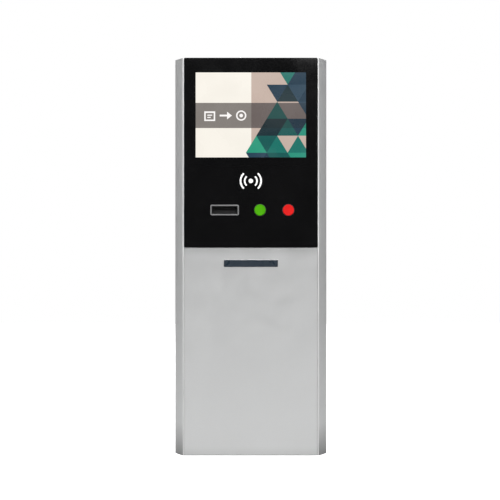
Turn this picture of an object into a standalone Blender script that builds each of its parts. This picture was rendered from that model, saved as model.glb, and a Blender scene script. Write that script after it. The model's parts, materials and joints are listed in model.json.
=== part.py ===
"""Floor-standing touchscreen kiosk, 1.24 m tall, with a receipt printer and two push buttons.

Dimensions are in millimetres and are turned into metres when each mesh is made.
X is to the right seen from the front, the front faces -Y, and Z is up from the floor.
"""
import math

import bmesh
import bpy
from mathutils import Matrix, Vector
from mathutils.geometry import tessellate_polygon

MM = 0.001

# Cabinet
HEIGHT = 1240.0
FACE_HALF = 208.5
BODY_HALF = 238.25
FRONT_Y = -160.0
REAR_Y = 160.0
SHEET = 2.0
GAP = 0.3

# Side panels, in plan
NOSE_Y = -157.0
NOSE_R = 1.8
CHEEK_Y = -105.0
CHEEK_ANGLE = 32.0
CHEEK_LEAD = 18.0
CHEEK_END = (237.2, -110.0)
FLANGE_X = 196.0
FLANGE_Y = -151.1
CORNER_R = 10.0
RETURN_Y = 150.0
SIDE_Z = (1.0, 1239.6)

# Base, top and uprights
BASE_THICK = 5.0
ENTRY_Y = 90.0
ENTRY_SIZE = (120.0, 60.0)
CAP_Z = (1236.5, 1238.5)
RIM_HALF = (183.0, 148.0)
RIM_LOW = 1222.0
UPRIGHT_X = (184.0, 195.4)
UPRIGHT_Y = (-151.0, -125.0)

# Lower front panel and badge
LOWER_Z = (2.0, 648.5)
LOWER_EDGE = 1.5
BADGE_SIZE = (169.0, 23.0)
BADGE_Z = 599.5
BADGE_THICK = 1.0

# Front glass, its tape and the sheets behind it
GLASS_HALF = 207.6
GLASS_BOTTOM = 650.0
GLASS_THICK = 5.0
TAPE_HALF = 206.0
TAPE_Z = (652.5, 1237.0)
TAPE_Y = (-154.7, -153.7)
CARRIER_Z = (652.0, 1236.0)
CARRIER_SPLIT = 905.0
CARRIER_Y = (-153.4, -151.4)
WINDOW_HALF = 175.5
WINDOW_Z = (925.5, 1198.5)

# Display
CELL_HALF = 174.5
CELL_Y = (-153.2, -150.2)
CHASSIS_HALF = 178.0
CHASSIS_Y = (-149.9, -131.0)
CHASSIS_Z = (920.0, 1204.0)
BRACKET_Z = (960.0, 1164.0)
BRACKET_X = (160.0, 183.7)
BRACKET_Y = (-148.5, -128.5)
BRACKET_SHEET = 2.2
DRIVER_X = (-90.0, 60.0)
DRIVER_Y = (-130.7, -112.0)
DRIVER_Z = (1010.0, 1110.0)

# Contactless reader
READER_Z = 856.4
READER_OPENING = (100.0, 71.0)
ANTENNA_HALF = (47.0, 33.0)
ANTENNA_Y = (-153.2, -151.6)
READER_BOX_HALF = (50.0, 38.5)
READER_BOX_Y = (-150.9, -131.5)

# Printer mouth
MOUTH_X = -81.6
MOUTH_Z = 765.7
MOUTH_W = 80.6
MOUTH_H = 24.6
MOUTH_BAR = 5.4
MOUTH_FRONT = -161.5
MOUTH_BACK = -135.0
THROAT_WALL = 2.0

# Push buttons
BUTTON_X = {"green": 28.5, "red": 117.0}
BUTTON_Z = 765.7
BUTTON_TRAVEL = 3.0
CAP_R = 17.4
CAP_FRONT = -165.0
STEM_R = 6.0
STEM_LENGTH = 31.0
RING_R = 19.1
BODY_R = 15.7
BORE_R = 13.0
POCKET_Y = -155.6
BUTTON_BACK = -128.0
NUT_R = 20.0
NUT_Y = (-151.2, -145.2)
SPRING_R = 9.5
SPRING_WIRE = 0.5
SPRING_Y = (-157.9, -132.1)
SPRING_TURNS = 6
SWITCH_HALF = 12.0
SWITCH_Y = (-127.7, -100.0)
PLUNGER_R = 4.0
PLUNGER_FRONT = -130.7

# Receipt printer
SHELF_FRONT = -151.1
SHELF_Y = 10.0
SHELF_Z = (656.0, 689.7)
SHELF_X = (-140.0, -22.0)
PRINTER_HALF = 52.0
PRINTER_Y = (-134.0, 0.0)
PRINTER_Z = (690.0, 763.5)
COVER_Z = (764.0, 790.0)
COVER_HINGE = (2.0, 768.0)
LUG_X = (22.0, 30.0)
HEAD_HALF = 42.0
PLATEN_Y = -120.0
PLATEN_Z = 771.2
PLATEN_R = 6.0
SHAFT_R = 2.6
ROLL_Y = -48.0
ROLL_Z = 733.0
ROLL_R = 38.0
ROLL_HALF = 39.5
SPINDLE_R = 6.2
SPINDLE_HALF = 51.8

# Computer shelf
DECK_HALF = 235.9
DECK_Y = (-98.0, 118.0)
DECK_Z = (312.0, 332.0)
CASE_X = (-130.0, 70.0)
CASE_Y = (-70.0, 90.0)
CASE_TOP = 387.0
SUPPLY_X = (100.0, 198.0)
SUPPLY_Y = (-70.0, 89.0)
SUPPLY_TOP = 370.3
LEAD_R = 2.8

# Rear door, hinges and lock
DOOR_HALF = 205.4
DOOR_Z = (80.0, 1104.0)
DOOR_VENT_Z = (118.0, 1034.0)
VENT_PITCH = (100.0, 11.0)
VENT_SIZE = (76.0, 5.0)
HINGE_X = 206.0
HINGE_Y = 162.6
HINGE_Z = {"lower": 220.0, "upper": 960.0}
HINGE_HALF = 30.0
BARREL_R = 2.3
LEAF_THICK = 1.2
LEAF_REACH = 20.0
PIN_R = 1.25
LOCK_X = -186.0
LOCK_Z = 590.0
LOCK_R = 9.5
PLUG_R = 7.0
CAM_Y = (147.0, 149.4)

# Rear panels, fan and mains inlet
REAR_BOTTOM_Z = (6.0, 76.0)
REAR_TOP_Z = (1108.0, 1236.2)
FAN_Z = 1170.0
FAN_SIZE = 92.0
FAN_Y = (132.7, 157.7)
FAN_BORE_R = 43.5
FAN_HUB_R = 17.0
FAN_SLOTS = 11
FAN_SLOT_PITCH = 7.5
FAN_SLOT_REACH = 41.0
ROTOR_Y = 146.2
ROTOR_BLADES = 7
INLET_X = 120.0
INLET_Z = 40.0
INLET_FLANGE = (60.0, 34.0)
INLET_FLANGE_Y = (160.3, 162.6)
INLET_BODY = (47.0, 27.0)
INLET_BACK = 135.0
SOCKET_X = 109.0
SOCKET_SIZE = (24.0, 17.0)
ROCKER_X = 134.0
ROCKER_Y = 158.5
ROCKER_HALF = 7.1
ROCKER_TILT = math.radians(8.0)

FINISHES = {
    "silver_sheet": ((0.60, 0.61, 0.61), 0.55, 0.42),
    "zinc_steel": ((0.52, 0.53, 0.54), 0.90, 0.38),
    "black_glass": ((0.010, 0.010, 0.011), 0.0, 0.06),
    "black_plastic": ((0.020, 0.020, 0.021), 0.0, 0.45),
    "grey_plastic": ((0.20, 0.20, 0.20), 0.0, 0.40),
    "green_plastic": ((0.09, 0.47, 0.006), 0.0, 0.30),
    "red_plastic": ((0.78, 0.025, 0.018), 0.0, 0.30),
    "foam": ((0.03, 0.03, 0.03), 0.0, 0.90),
    "rubber": ((0.025, 0.025, 0.025), 0.0, 0.75),
    "paper": ((0.86, 0.86, 0.84), 0.0, 0.80),
    "circuit_board": ((0.02, 0.16, 0.07), 0.0, 0.45),
    "polished_steel": ((0.70, 0.70, 0.70), 1.0, 0.20),
    "display": ((0.55, 0.50, 0.44), 0.0, 0.20),
}


def clear_scene():
    for obj in list(bpy.data.objects):
        bpy.data.objects.remove(obj)


def finish(name):
    found = bpy.data.materials.get(name)
    if found:
        return found
    colour, metallic, roughness = FINISHES[name]
    made = bpy.data.materials.new(name)
    made.use_nodes = True
    shader = made.node_tree.nodes["Principled BSDF"]
    shader.inputs["Base Color"].default_value = (*colour, 1.0)
    shader.inputs["Metallic"].default_value = metallic
    shader.inputs["Roughness"].default_value = roughness
    return made


def place(name, shape, look, at=(0.0, 0.0, 0.0)):
    """Make one solid; its points are in millimetres from its own origin, which is put at `at`."""
    verts, faces = shape
    mesh = bpy.data.meshes.new(name)
    mesh.from_pydata([tuple(c * MM for c in v) for v in verts], [], faces)
    bm = bmesh.new()
    bm.from_mesh(mesh)
    bmesh.ops.recalc_face_normals(bm, faces=bm.faces)
    bm.to_mesh(mesh)
    bm.free()
    mesh.materials.append(finish(look))
    obj = bpy.data.objects.new(name, mesh)
    bpy.context.scene.collection.objects.link(obj)
    obj.location = [c * MM for c in at]
    return obj


def hang(child, parent):
    """Parent a piece without moving it."""
    child.parent = parent
    child.location = child.location - parent.location


def combine(obj, operation, *shapes):
    """Add or cut shapes given in the object's own millimetre frame."""
    tools = []
    for index, shape in enumerate(shapes):
        tool = place(f"tool_{index}", shape, "zinc_steel")
        tool.location = obj.location
        tools.append(tool)
        modifier = obj.modifiers.new("Boolean", "BOOLEAN")
        modifier.operation = operation
        modifier.solver = "EXACT"
        modifier.object = tool
    bpy.context.view_layer.update()
    graph = bpy.context.evaluated_depsgraph_get()
    mesh = bpy.data.meshes.new_from_object(obj.evaluated_get(graph))
    obj.modifiers.clear()
    look = obj.data.materials[0]
    obj.data = mesh
    mesh.materials.clear()
    mesh.materials.append(look)
    for tool in tools:
        bpy.data.objects.remove(tool)
    return obj


def on(axis, p, depth):
    """Put a 2-D point into 3-D, with `depth` measured along the axis."""
    if axis == "x":
        return (depth, p[0], p[1])
    if axis == "y":
        return (p[0], depth, p[1])
    return (p[0], p[1], depth)


def loft(loops, ring=False):
    """Skin a row of equal loops; a ring joins the last loop back to the first."""
    n = len(loops[0])
    count = len(loops)
    verts = [p for loop in loops for p in loop]
    faces = []
    for i in range(count if ring else count - 1):
        a = i * n
        b = ((i + 1) % count) * n
        for k in range(n):
            m = (k + 1) % n
            faces.append((a + k, a + m, b + m, b + k))
    if not ring:
        faces.append(tuple(reversed(range(n))))
        faces.append(tuple(range((count - 1) * n, count * n)))
    return verts, faces


def plate(axis, outline, a, b, holes=()):
    """Extrude a 2-D outline with holes from depth a to depth b along an axis."""
    loops = [list(outline)] + [list(hole) for hole in holes]
    points = [p for loop in loops for p in loop]
    n = len(points)
    flat = [[Vector((p[0], p[1], 0.0)) for p in loop] for loop in loops]
    caps = [tuple(t) for t in tessellate_polygon(flat)]
    verts = [on(axis, p, a) for p in points] + [on(axis, p, b) for p in points]
    faces = caps + [tuple(n + i for i in reversed(t)) for t in caps]
    start = 0
    for loop in loops:
        size = len(loop)
        for k in range(size):
            i = start + k
            j = start + (k + 1) % size
            faces.append((i, j, n + j, n + i))
        start += size
    return verts, faces


def merge(*shapes):
    """Put several separate shapes in one mesh, for use as a single cutter."""
    verts = []
    faces = []
    for shape_verts, shape_faces in shapes:
        offset = len(verts)
        verts.extend(shape_verts)
        faces.extend(tuple(i + offset for i in face) for face in shape_faces)
    return verts, faces


def rect(x0, x1, z0, z1):
    return [(x0, z0), (x1, z0), (x1, z1), (x0, z1)]


def rounded(cx, cz, w, h, r, steps=4):
    """Rounded rectangle, anticlockwise."""
    points = []
    for index, (sx, sz) in enumerate(((1, -1), (1, 1), (-1, 1), (-1, -1))):
        for step in range(steps + 1):
            angle = math.radians(-90.0 + 90.0 * index + 90.0 * step / steps)
            x = cx + sx * (w / 2 - r) + r * math.cos(angle)
            z = cz + sz * (h / 2 - r) + r * math.sin(angle)
            points.append((x, z))
    return points


def circle(cx, cz, r, sides=32):
    turn = 2.0 * math.pi / sides
    return [(cx + r * math.cos(turn * k), cz + r * math.sin(turn * k)) for k in range(sides)]


def lathe(axis, profile, centre=(0.0, 0.0), sides=32, ring=False):
    """Turn (radius, depth) points around an axis."""
    loops = []
    for r, depth in profile:
        loops.append([on(axis, p, depth) for p in circle(centre[0], centre[1], r, sides)])
    return loft(loops, ring)


def box(x0, x1, y0, y1, z0, z1):
    return plate("z", rect(x0, x1, y0, y1), z0, z1)


def soft_box(x0, x1, y0, y1, z0, z1, r=2.0):
    """Box with rounded upright edges and a small chamfer round its top and bottom."""
    cx, cy = (x0 + x1) / 2, (y0 + y1) / 2
    w, d = x1 - x0, y1 - y0
    rows = ((1.0, z0), (0.0, z0 + 1.0), (0.0, z1 - 1.0), (1.0, z1))
    loops = []
    for inset, z in rows:
        outline = rounded(cx, cy, w - 2 * inset, d - 2 * inset, r, 2)
        loops.append([(p[0], p[1], z) for p in outline])
    return loft(loops)


def tube(points, radius, sides=8):
    """Round lead along a smooth line through the given points."""
    route = []
    last = len(points) - 1
    for i in range(last):
        p0, p1 = Vector(points[max(i - 1, 0)]), Vector(points[i])
        p2, p3 = Vector(points[i + 1]), Vector(points[min(i + 2, last)])
        for step in range(4):
            t = step / 4
            bend = (p2 - p0) * t + (2 * p0 - 5 * p1 + 4 * p2 - p3) * t * t
            bend += (3 * p1 - p0 - 3 * p2 + p3) * t * t * t
            route.append(p1 + bend / 2)
    route.append(Vector(points[last]))
    loops = []
    side = Vector((1.0, 0.0, 0.0))
    for i, p in enumerate(route):
        ahead = (route[min(i + 1, len(route) - 1)] - route[max(i - 1, 0)]).normalized()
        up = ahead.cross(side).normalized()
        side = up.cross(ahead).normalized()
        turn = 2.0 * math.pi / sides
        loops.append([tuple(p + (side * math.cos(turn * k) + up * math.sin(turn * k)) * radius)
                      for k in range(sides)])
    return loft(loops)


def offset(path, distance):
    """Shift an open path to its left with mitred corners."""
    shifted = []
    for i, p in enumerate(path):
        here = Vector(p)
        before = (here - Vector(path[i - 1])).normalized() if i > 0 else None
        after = (Vector(path[i + 1]) - here).normalized() if i + 1 < len(path) else None
        before = before or after
        after = after or before
        left_a = Vector((-before.y, before.x))
        left_b = Vector((-after.y, after.x))
        middle = (left_a + left_b).normalized()
        shifted.append(tuple(here + middle * (distance / middle.dot(left_a))))
    return shifted


def nose_arc(steps=6):
    """Rounded front edge of the right-hand side panel, from its return to where its cheek begins."""
    cx, cy = FACE_HALF + GAP + NOSE_R, NOSE_Y + NOSE_R
    sweep = 180.0 - CHEEK_ANGLE
    angles = [math.radians(180.0 + sweep * step / steps) for step in range(steps + 1)]
    return [(cx + NOSE_R * math.cos(a), cy + NOSE_R * math.sin(a)) for a in angles]


def bezier(ends, steps):
    """Points along a cubic curve from the first of four 2-D points to the last."""
    points = []
    for step in range(steps + 1):
        t = step / steps
        u = 1.0 - t
        weights = (u * u * u, 3 * u * u * t, 3 * u * t * t, t * t * t)
        points.append(tuple(sum(w * end[axis] for w, end in zip(weights, ends)) for axis in (0, 1)))
    return points


def side_path():
    """Outer line of the right-hand side panel in plan, from the front flange round to the rear lip.

    The front edge is a sharp corner here; `nose_arc` rounds it.
    """
    edge_x = FACE_HALF + GAP
    start = nose_arc()[-1]
    lean = math.radians(CHEEK_ANGLE)
    corner = (edge_x, start[1] - (start[0] - edge_x) / math.tan(lean))
    lead = (start[0] + CHEEK_LEAD * math.sin(lean), start[1] + CHEEK_LEAD * math.cos(lean))
    path = [(FLANGE_X, FLANGE_Y), (edge_x, FLANGE_Y), corner]
    path += bezier((start, lead, CHEEK_END, (BODY_HALF, CHEEK_Y)), 8)
    for step in range(6):
        angle = math.radians(90.0 * step / 5)
        x = BODY_HALF + CORNER_R * (math.cos(angle) - 1.0)
        path.append((x, REAR_Y + CORNER_R * (math.sin(angle) - 1.0)))
    path.append((HINGE_X, REAR_Y))
    path.append((HINGE_X, RETURN_Y))
    return path


def mirrored(points):
    return [(-x, y) for x, y in reversed(points)]


def inner_outline():
    """Plan of a plate that fills the shell between the two side panels."""
    inside = offset(side_path(), SHEET + GAP)
    lip_x = HINGE_X + SHEET + GAP
    half = [(FLANGE_X - 0.4, FLANGE_Y + 0.1), (FLANGE_X - 0.4, FLANGE_Y + SHEET + GAP)]
    half += inside[1:-2]
    half += [(lip_x, REAR_Y - SHEET - GAP), (lip_x, RETURN_Y - GAP)]
    half += [(HINGE_X - GAP, RETURN_Y - GAP), (HINGE_X - GAP, REAR_Y - GAP)]
    return half + mirrored(half)


def frame_angle(side, xs, ys, sheet):
    """Section of an angle: a leg from the front corner across in x and one back in y."""
    outline = [(xs[0], ys[0]), (xs[1], ys[0]), (xs[1], ys[0] + sheet), (xs[0] + sheet, ys[0] + sheet),
               (xs[0] + sheet, ys[1]), (xs[0], ys[1])]
    return [(side * x, y) for x, y in outline]


def tray(axis, x0, x1, z0, z1, face, back, sheet, r=0.0, edge=0.0):
    """Folded panel: a flat face with returns all round; `face` and `back` are depths on the axis."""
    inward = 1.0 if back > face else -1.0
    cx, cz = (x0 + x1) / 2, (z0 + z1) / 2
    w, h = x1 - x0, z1 - z0

    def loop(inset, depth):
        corner = max(r - inset, 0.2)
        outline = rounded(cx, cz, w - 2 * inset, h - 2 * inset, corner, 3)
        return [on(axis, p, depth) for p in outline]

    loops = [loop(sheet, face + inward * sheet), loop(sheet, back), loop(0.0, back)]
    if edge:
        for step in range(3):
            angle = math.radians(45.0 * step)
            inset = edge * (1.0 - math.cos(angle))
            loops.append(loop(inset, face + inward * edge * (1.0 - math.sin(angle))))
    else:
        loops.append(loop(0.0, face))
    return loft(loops)


def build_shell():
    outer = side_path()
    inner = offset(outer, SHEET)
    outline = outer[:2] + nose_arc() + outer[4:] + list(reversed(inner))
    place("right_side_panel", plate("z", outline, *SIDE_Z), "silver_sheet")
    place("left_side_panel", plate("z", mirrored(outline), *SIDE_Z), "silver_sheet")

    entry = rounded(0.0, ENTRY_Y, *ENTRY_SIZE, 6.0)
    place("base_plate", plate("z", inner_outline(), 0.0, BASE_THICK, [entry]), "zinc_steel")

    cap = place("top_cap", plate("z", inner_outline(), *CAP_Z), "silver_sheet")
    across, deep = RIM_HALF
    hollow = rect(SHEET - across, across - SHEET, SHEET - deep, deep - SHEET)
    rim = plate("z", rect(-across, across, -deep, deep), RIM_LOW, CAP_Z[0] + 0.5, [hollow])
    combine(cap, "UNION", rim)

    half = FACE_HALF - GAP
    lower = tray("y", -half, half, *LOWER_Z, NOSE_Y, CARRIER_Y[1], LOWER_EDGE, SHEET, LOWER_EDGE)
    place("lower_front_panel", lower, "silver_sheet")
    badge = rounded(0.0, BADGE_Z, *BADGE_SIZE, 2.5)
    place("badge_plate", plate("y", badge, NOSE_Y - GAP - BADGE_THICK, NOSE_Y - GAP), "grey_plastic")

    for side, name in ((1.0, "right_upright"), (-1.0, "left_upright")):
        outline = frame_angle(side, UPRIGHT_X, UPRIGHT_Y, SHEET)
        place(name, plate("z", outline, BASE_THICK + GAP, RIM_LOW - GAP), "zinc_steel")


def front_openings(button_r):
    """Outlines cut through the layers behind the glass; only the button holes differ from layer to layer."""
    low, high = WINDOW_Z
    window = rounded(0.0, (low + high) / 2, 2 * WINDOW_HALF, high - low, 2.0, 2)
    reader = rounded(0.0, READER_Z, *READER_OPENING, 2.0, 2)
    mouth = rounded(MOUTH_X, MOUTH_Z, MOUTH_W + 5.0, MOUTH_H + 5.0, 2.5, 2)
    buttons = [circle(x, BUTTON_Z, button_r) for x in BUTTON_X.values()]
    return window, reader, mouth, buttons


def build_front():
    _, _, mouth, buttons = front_openings(RING_R + GAP)
    middle = (GLASS_BOTTOM + HEIGHT) / 2
    outline = rounded(0.0, middle, 2 * GLASS_HALF, HEIGHT - GLASS_BOTTOM, 3.0)
    corner = len(outline) // 4
    seam = CARRIER_SPLIT - GAP
    back = FRONT_Y + GLASS_THICK
    upper = [(GLASS_HALF, CARRIER_SPLIT), *outline[corner:-corner], (-GLASS_HALF, CARRIER_SPLIT)]
    place("display_glass", plate("y", upper, FRONT_Y, back), "black_glass")
    lower = [*outline[:corner], (GLASS_HALF, seam), (-GLASS_HALF, seam), *outline[-corner:]]
    place("control_glass", plate("y", lower, FRONT_Y, back, [mouth, *buttons]), "black_glass")

    window, reader, mouth, buttons = front_openings(RING_R + 0.5)
    tape = plate("y", rect(-TAPE_HALF, TAPE_HALF, *TAPE_Z), *TAPE_Y, [window, reader, mouth, *buttons])
    place("glass_gasket", tape, "foam")

    window, reader, mouth, buttons = front_openings(BODY_R + GAP)
    frame = rect(-GLASS_HALF, GLASS_HALF, CARRIER_SPLIT, CARRIER_Z[1])
    place("front_carrier", plate("y", frame, *CARRIER_Y, [window]), "zinc_steel")
    control = rect(-GLASS_HALF, GLASS_HALF, CARRIER_Z[0], CARRIER_SPLIT - GAP)
    place("control_plate", plate("y", control, *CARRIER_Y, [reader, mouth, *buttons]), "zinc_steel")


def build_display():
    cell = rect(-CELL_HALF, CELL_HALF, WINDOW_Z[0] + 1.0, WINDOW_Z[1] - 1.0)
    place("lcd_panel", plate("y", cell, *CELL_Y), "display")
    place("lcd_chassis", soft_box(-CHASSIS_HALF, CHASSIS_HALF, *CHASSIS_Y, *CHASSIS_Z), "zinc_steel")
    for side, name in ((1.0, "display_bracket_right"), (-1.0, "display_bracket_left")):
        ends = (-BRACKET_X[1], -BRACKET_X[0])
        depths = (-BRACKET_Y[1], -BRACKET_Y[0])
        outline = [(side * -x, -y) for x, y in frame_angle(1.0, ends, depths, BRACKET_SHEET)]
        place(name, plate("z", outline, *BRACKET_Z), "zinc_steel")
    place("display_driver", soft_box(*DRIVER_X, *DRIVER_Y, *DRIVER_Z), "grey_plastic")

    across, tall = ANTENNA_HALF
    board = box(-across, across, *ANTENNA_Y, READER_Z - tall, READER_Z + tall)
    place("reader_antenna", board, "circuit_board")
    across, tall = READER_BOX_HALF
    case = soft_box(-across, across, *READER_BOX_Y, READER_Z - tall, READER_Z + tall)
    place("reader_box", case, "black_plastic")


def build_mouth():
    """Slot frame: a bar round the slot on the glass and a throat through it, as one turned-over ring."""
    face = MOUTH_FRONT + 0.6
    rim = FRONT_Y - 0.2
    bar = 2 * MOUTH_BAR
    wall = 2 * THROAT_WALL
    rows = (
        (0.0, 1.5, MOUTH_BACK),
        (0.0, 1.5, face),
        (1.2, 2.1, MOUTH_FRONT),
        (bar - 1.2, 3.8, MOUTH_FRONT),
        (bar, 4.4, face),
        (bar, 4.4, rim),
        (wall, 2.4, rim),
        (wall, 2.4, MOUTH_BACK),
    )
    loops = []
    for grow, r, depth in rows:
        outline = rounded(MOUTH_X, MOUTH_Z, MOUTH_W + grow, MOUTH_H + grow, r)
        loops.append([on("y", p, depth) for p in outline])
    place("mouth_bezel", loft(loops, ring=True), "grey_plastic")


def hexagon(cx, cz, r):
    return circle(cx, cz, r, 6)


def build_spring(x):
    """Return spring as one closed wire round the cap's stem."""
    coil = []
    steps = 16 * SPRING_TURNS
    front, back = SPRING_Y
    around = [math.pi * j / 3 for j in range(6)]
    for k in range(steps + 1):
        angle = 2.0 * math.pi * SPRING_TURNS * k / steps
        y = front + (back - front) * k / steps
        loop = []
        for b in around:
            r = SPRING_R + SPRING_WIRE * math.cos(b)
            depth = y + SPRING_WIRE * math.sin(b)
            loop.append((x + r * math.cos(angle), depth, BUTTON_Z + r * math.sin(angle)))
        coil.append(loop)
    return loft(coil)


def build_button(colour):
    x = BUTTON_X[colour]
    centre = (x, BUTTON_Z)
    rim = FRONT_Y - 0.2
    neck = BUTTON_BACK - BUTTON_TRAVEL
    housing = (
        (CAP_R + GAP, rim), (RING_R, rim), (RING_R, TAPE_Y[1]), (BODY_R, TAPE_Y[1]), (BODY_R, BUTTON_BACK),
        (STEM_R + 0.5, BUTTON_BACK), (STEM_R + 0.5, neck), (BORE_R, neck), (BORE_R, POCKET_Y),
        (CAP_R + GAP, POCKET_Y),
    )
    place(f"{colour}_button_housing", lathe("y", housing, centre, ring=True), "black_plastic")

    nut = plate("y", hexagon(x, BUTTON_Z, NUT_R), *NUT_Y, [circle(x, BUTTON_Z, BODY_R + 0.2)])
    place(f"{colour}_button_nut", nut, "black_plastic")

    block = rect(x - SWITCH_HALF, x + SWITCH_HALF, BUTTON_Z - SWITCH_HALF, BUTTON_Z + SWITCH_HALF)
    switch = place(f"{colour}_button_switch", plate("y", block, *SWITCH_Y), "black_plastic")
    plunger = ((PLUNGER_R, PLUNGER_FRONT), (PLUNGER_R, SWITCH_Y[0] + 1.7))
    combine(switch, "UNION", lathe("y", plunger, centre, 16))
    place(f"{colour}_button_spring", build_spring(x), "polished_steel")

    skirt = POCKET_Y - CAP_FRONT - BUTTON_TRAVEL - 0.2
    cap = (
        (STEM_R, STEM_LENGTH), (STEM_R, skirt), (CAP_R, skirt), (CAP_R, 1.6), (CAP_R - 0.5, 0.7),
        (CAP_R - 1.6, 0.15), (CAP_R - 3.5, 0.0),
    )
    place(f"{colour}_button_cap", lathe("y", cap), f"{colour}_plastic", (x, CAP_FRONT, BUTTON_Z))


def build_printer():
    low, high = SHELF_Z
    front = SHELF_FRONT
    shelf = [(front, low), (front + SHEET, low), (front + SHEET, high - SHEET), (SHELF_Y, high - SHEET),
             (SHELF_Y, high), (front, high)]
    place("printer_shelf", plate("x", shelf, *SHELF_X), "zinc_steel")

    left, right = MOUTH_X - PRINTER_HALF, MOUTH_X + PRINTER_HALF
    base = place("printer_base", tray("z", left, right, *PRINTER_Y, *PRINTER_Z, SHEET, SHEET), "black_plastic")
    bore = SPINDLE_R + GAP
    hole = lathe("x", ((bore, left - 5.0), (bore, right + 5.0)), (ROLL_Y, ROLL_Z), 24)
    combine(base, "DIFFERENCE", hole)
    section = [(-3.0, -16.0), (2.5, -11.0), (2.5, 0.0), (0.0, 2.5), (-1.7, 1.5), (-1.7, -5.0), (-3.0, -5.0)]
    hy, hz = COVER_HINGE
    section = [(hy + y, hz + z) for y, z in section]
    near, far = LUG_X
    right_lug = plate("x", section, MOUTH_X + near, MOUTH_X + far)
    left_lug = plate("x", section, MOUTH_X - far, MOUTH_X - near)
    combine(base, "UNION", right_lug, left_lug)

    floor = PRINTER_Z[0] + SHEET + GAP
    head = [(-131.0, floor), (-127.0, floor), (-127.0, 754.0), (-113.0, 758.0), (-113.0, 764.4), (-131.0, 764.4)]
    place("print_head", plate("x", head, MOUTH_X - HEAD_HALF, MOUTH_X + HEAD_HALF), "polished_steel")

    r = SPINDLE_R
    end = SPINDLE_HALF
    spindle = lathe("x", ((r - 1.0, -end), (r, 1.0 - end), (r, end - 1.0), (r - 1.0, end)), sides=24)
    place("paper_spindle", spindle, "black_plastic", (MOUTH_X, ROLL_Y, ROLL_Z))
    core = SPINDLE_R + 0.15
    end = ROLL_HALF
    roll = ((core, -end), (ROLL_R - 0.6, -end), (ROLL_R, 0.6 - end), (ROLL_R, end - 0.6), (ROLL_R - 0.6, end),
            (core, end))
    place("paper_roll", lathe("x", roll, sides=40, ring=True), "paper", (MOUTH_X, ROLL_Y, ROLL_Z))
    build_cover()


def build_cover():
    """Printer lid with the platen roller in it, both drawn from the lid's hinge line."""
    hy, hz = COVER_HINGE
    half = PRINTER_HALF
    front, back = PRINTER_Y[0] - hy, PRINTER_Y[1] - hy
    low, high = COVER_Z[0] - hz, COVER_Z[1] - hz
    shape = tray("z", -half, half, front, back, high, low, SHEET, 4.0, 2.0)
    cover = place("printer_cover", shape, "black_plastic", (MOUTH_X, hy, hz))

    slot = box(-HEAD_HALF + 1.0, HEAD_HALF - 1.0, front - 6.0, front + 3.0, low - 4.0, low + 4.0)
    bore = SHAFT_R + 0.2
    seat = lathe("x", ((bore, 1.0 - half), (bore, half - 1.0)), (PLATEN_Y - hy, PLATEN_Z - hz), 20)
    near, far = LUG_X[0] - 0.5, LUG_X[1] + 0.5
    depths = (back - 2.5, back + 1.0, low - 1.0, low + 7.6)
    notches = merge(box(near, far, *depths), box(-far, -near, *depths))
    combine(cover, "DIFFERENCE", slot, seat, notches)
    knuckle = [(-3.5, -3.0), (2.0, -2.4), (2.4, 0.0), (2.0, 2.0), (-3.5, 5.0)]
    combine(cover, "UNION", plate("x", knuckle, 1.0 - LUG_X[0], LUG_X[0] - 1.0))

    s, r, rubber, gear = SHAFT_R, PLATEN_R, HEAD_HALF - 1.0, 8.0
    platen = (
        (s, 1.2 - half), (s, -rubber - GAP), (r, -rubber), (r, rubber), (s, rubber + GAP), (s, 44.0),
        (gear, 44.0), (gear, 48.0), (s, 48.0), (s, half - 1.2),
    )
    roller = place("platen_roller", lathe("x", platen), "rubber", (MOUTH_X, PLATEN_Y, PLATEN_Z))
    hang(roller, cover)


def build_services():
    half, (low, high) = DECK_HALF, DECK_Z
    deck = [(-half, low), (SHEET - half, low), (SHEET - half, high - SHEET), (half - SHEET, high - SHEET),
            (half - SHEET, low), (half, low), (half, high), (-half, high)]
    place("pc_shelf", plate("y", deck, *DECK_Y), "zinc_steel")
    stand = high + GAP
    place("pc_case", soft_box(*CASE_X, *CASE_Y, stand, CASE_TOP, 3.0), "black_plastic")
    place("power_supply", soft_box(*SUPPLY_X, *SUPPLY_Y, stand, SUPPLY_TOP), "zinc_steel")

    through = (RETURN_Y + 5.0, REAR_Y + 5.0)
    panel = tray("y", -DOOR_HALF, DOOR_HALF, *REAR_BOTTOM_Z, REAR_Y, RETURN_Y, SHEET, 0.5)
    bottom = place("rear_bottom_panel", panel, "silver_sheet")
    across, tall = INLET_BODY[0] / 2 + 0.5, INLET_BODY[1] / 2 + 0.5
    cut = rect(INLET_X - across, INLET_X + across, INLET_Z - tall, INLET_Z + tall)
    combine(bottom, "DIFFERENCE", plate("y", cut, *through))

    panel = tray("y", -DOOR_HALF, DOOR_HALF, *REAR_TOP_Z, REAR_Y, RETURN_Y, SHEET, 0.5)
    top = place("rear_top_panel", panel, "silver_sheet")
    slots = []
    for k in range(FAN_SLOTS):
        drop = FAN_SLOT_PITCH * (k - FAN_SLOTS // 2)
        half = math.sqrt(FAN_SLOT_REACH ** 2 - drop ** 2)
        slots.append(plate("y", rounded(0.0, FAN_Z + drop, 2 * half, 4.0, 1.9, 2), *through))
    combine(top, "DIFFERENCE", merge(*slots))
    build_inlet()
    build_fan()
    build_leads()


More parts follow.
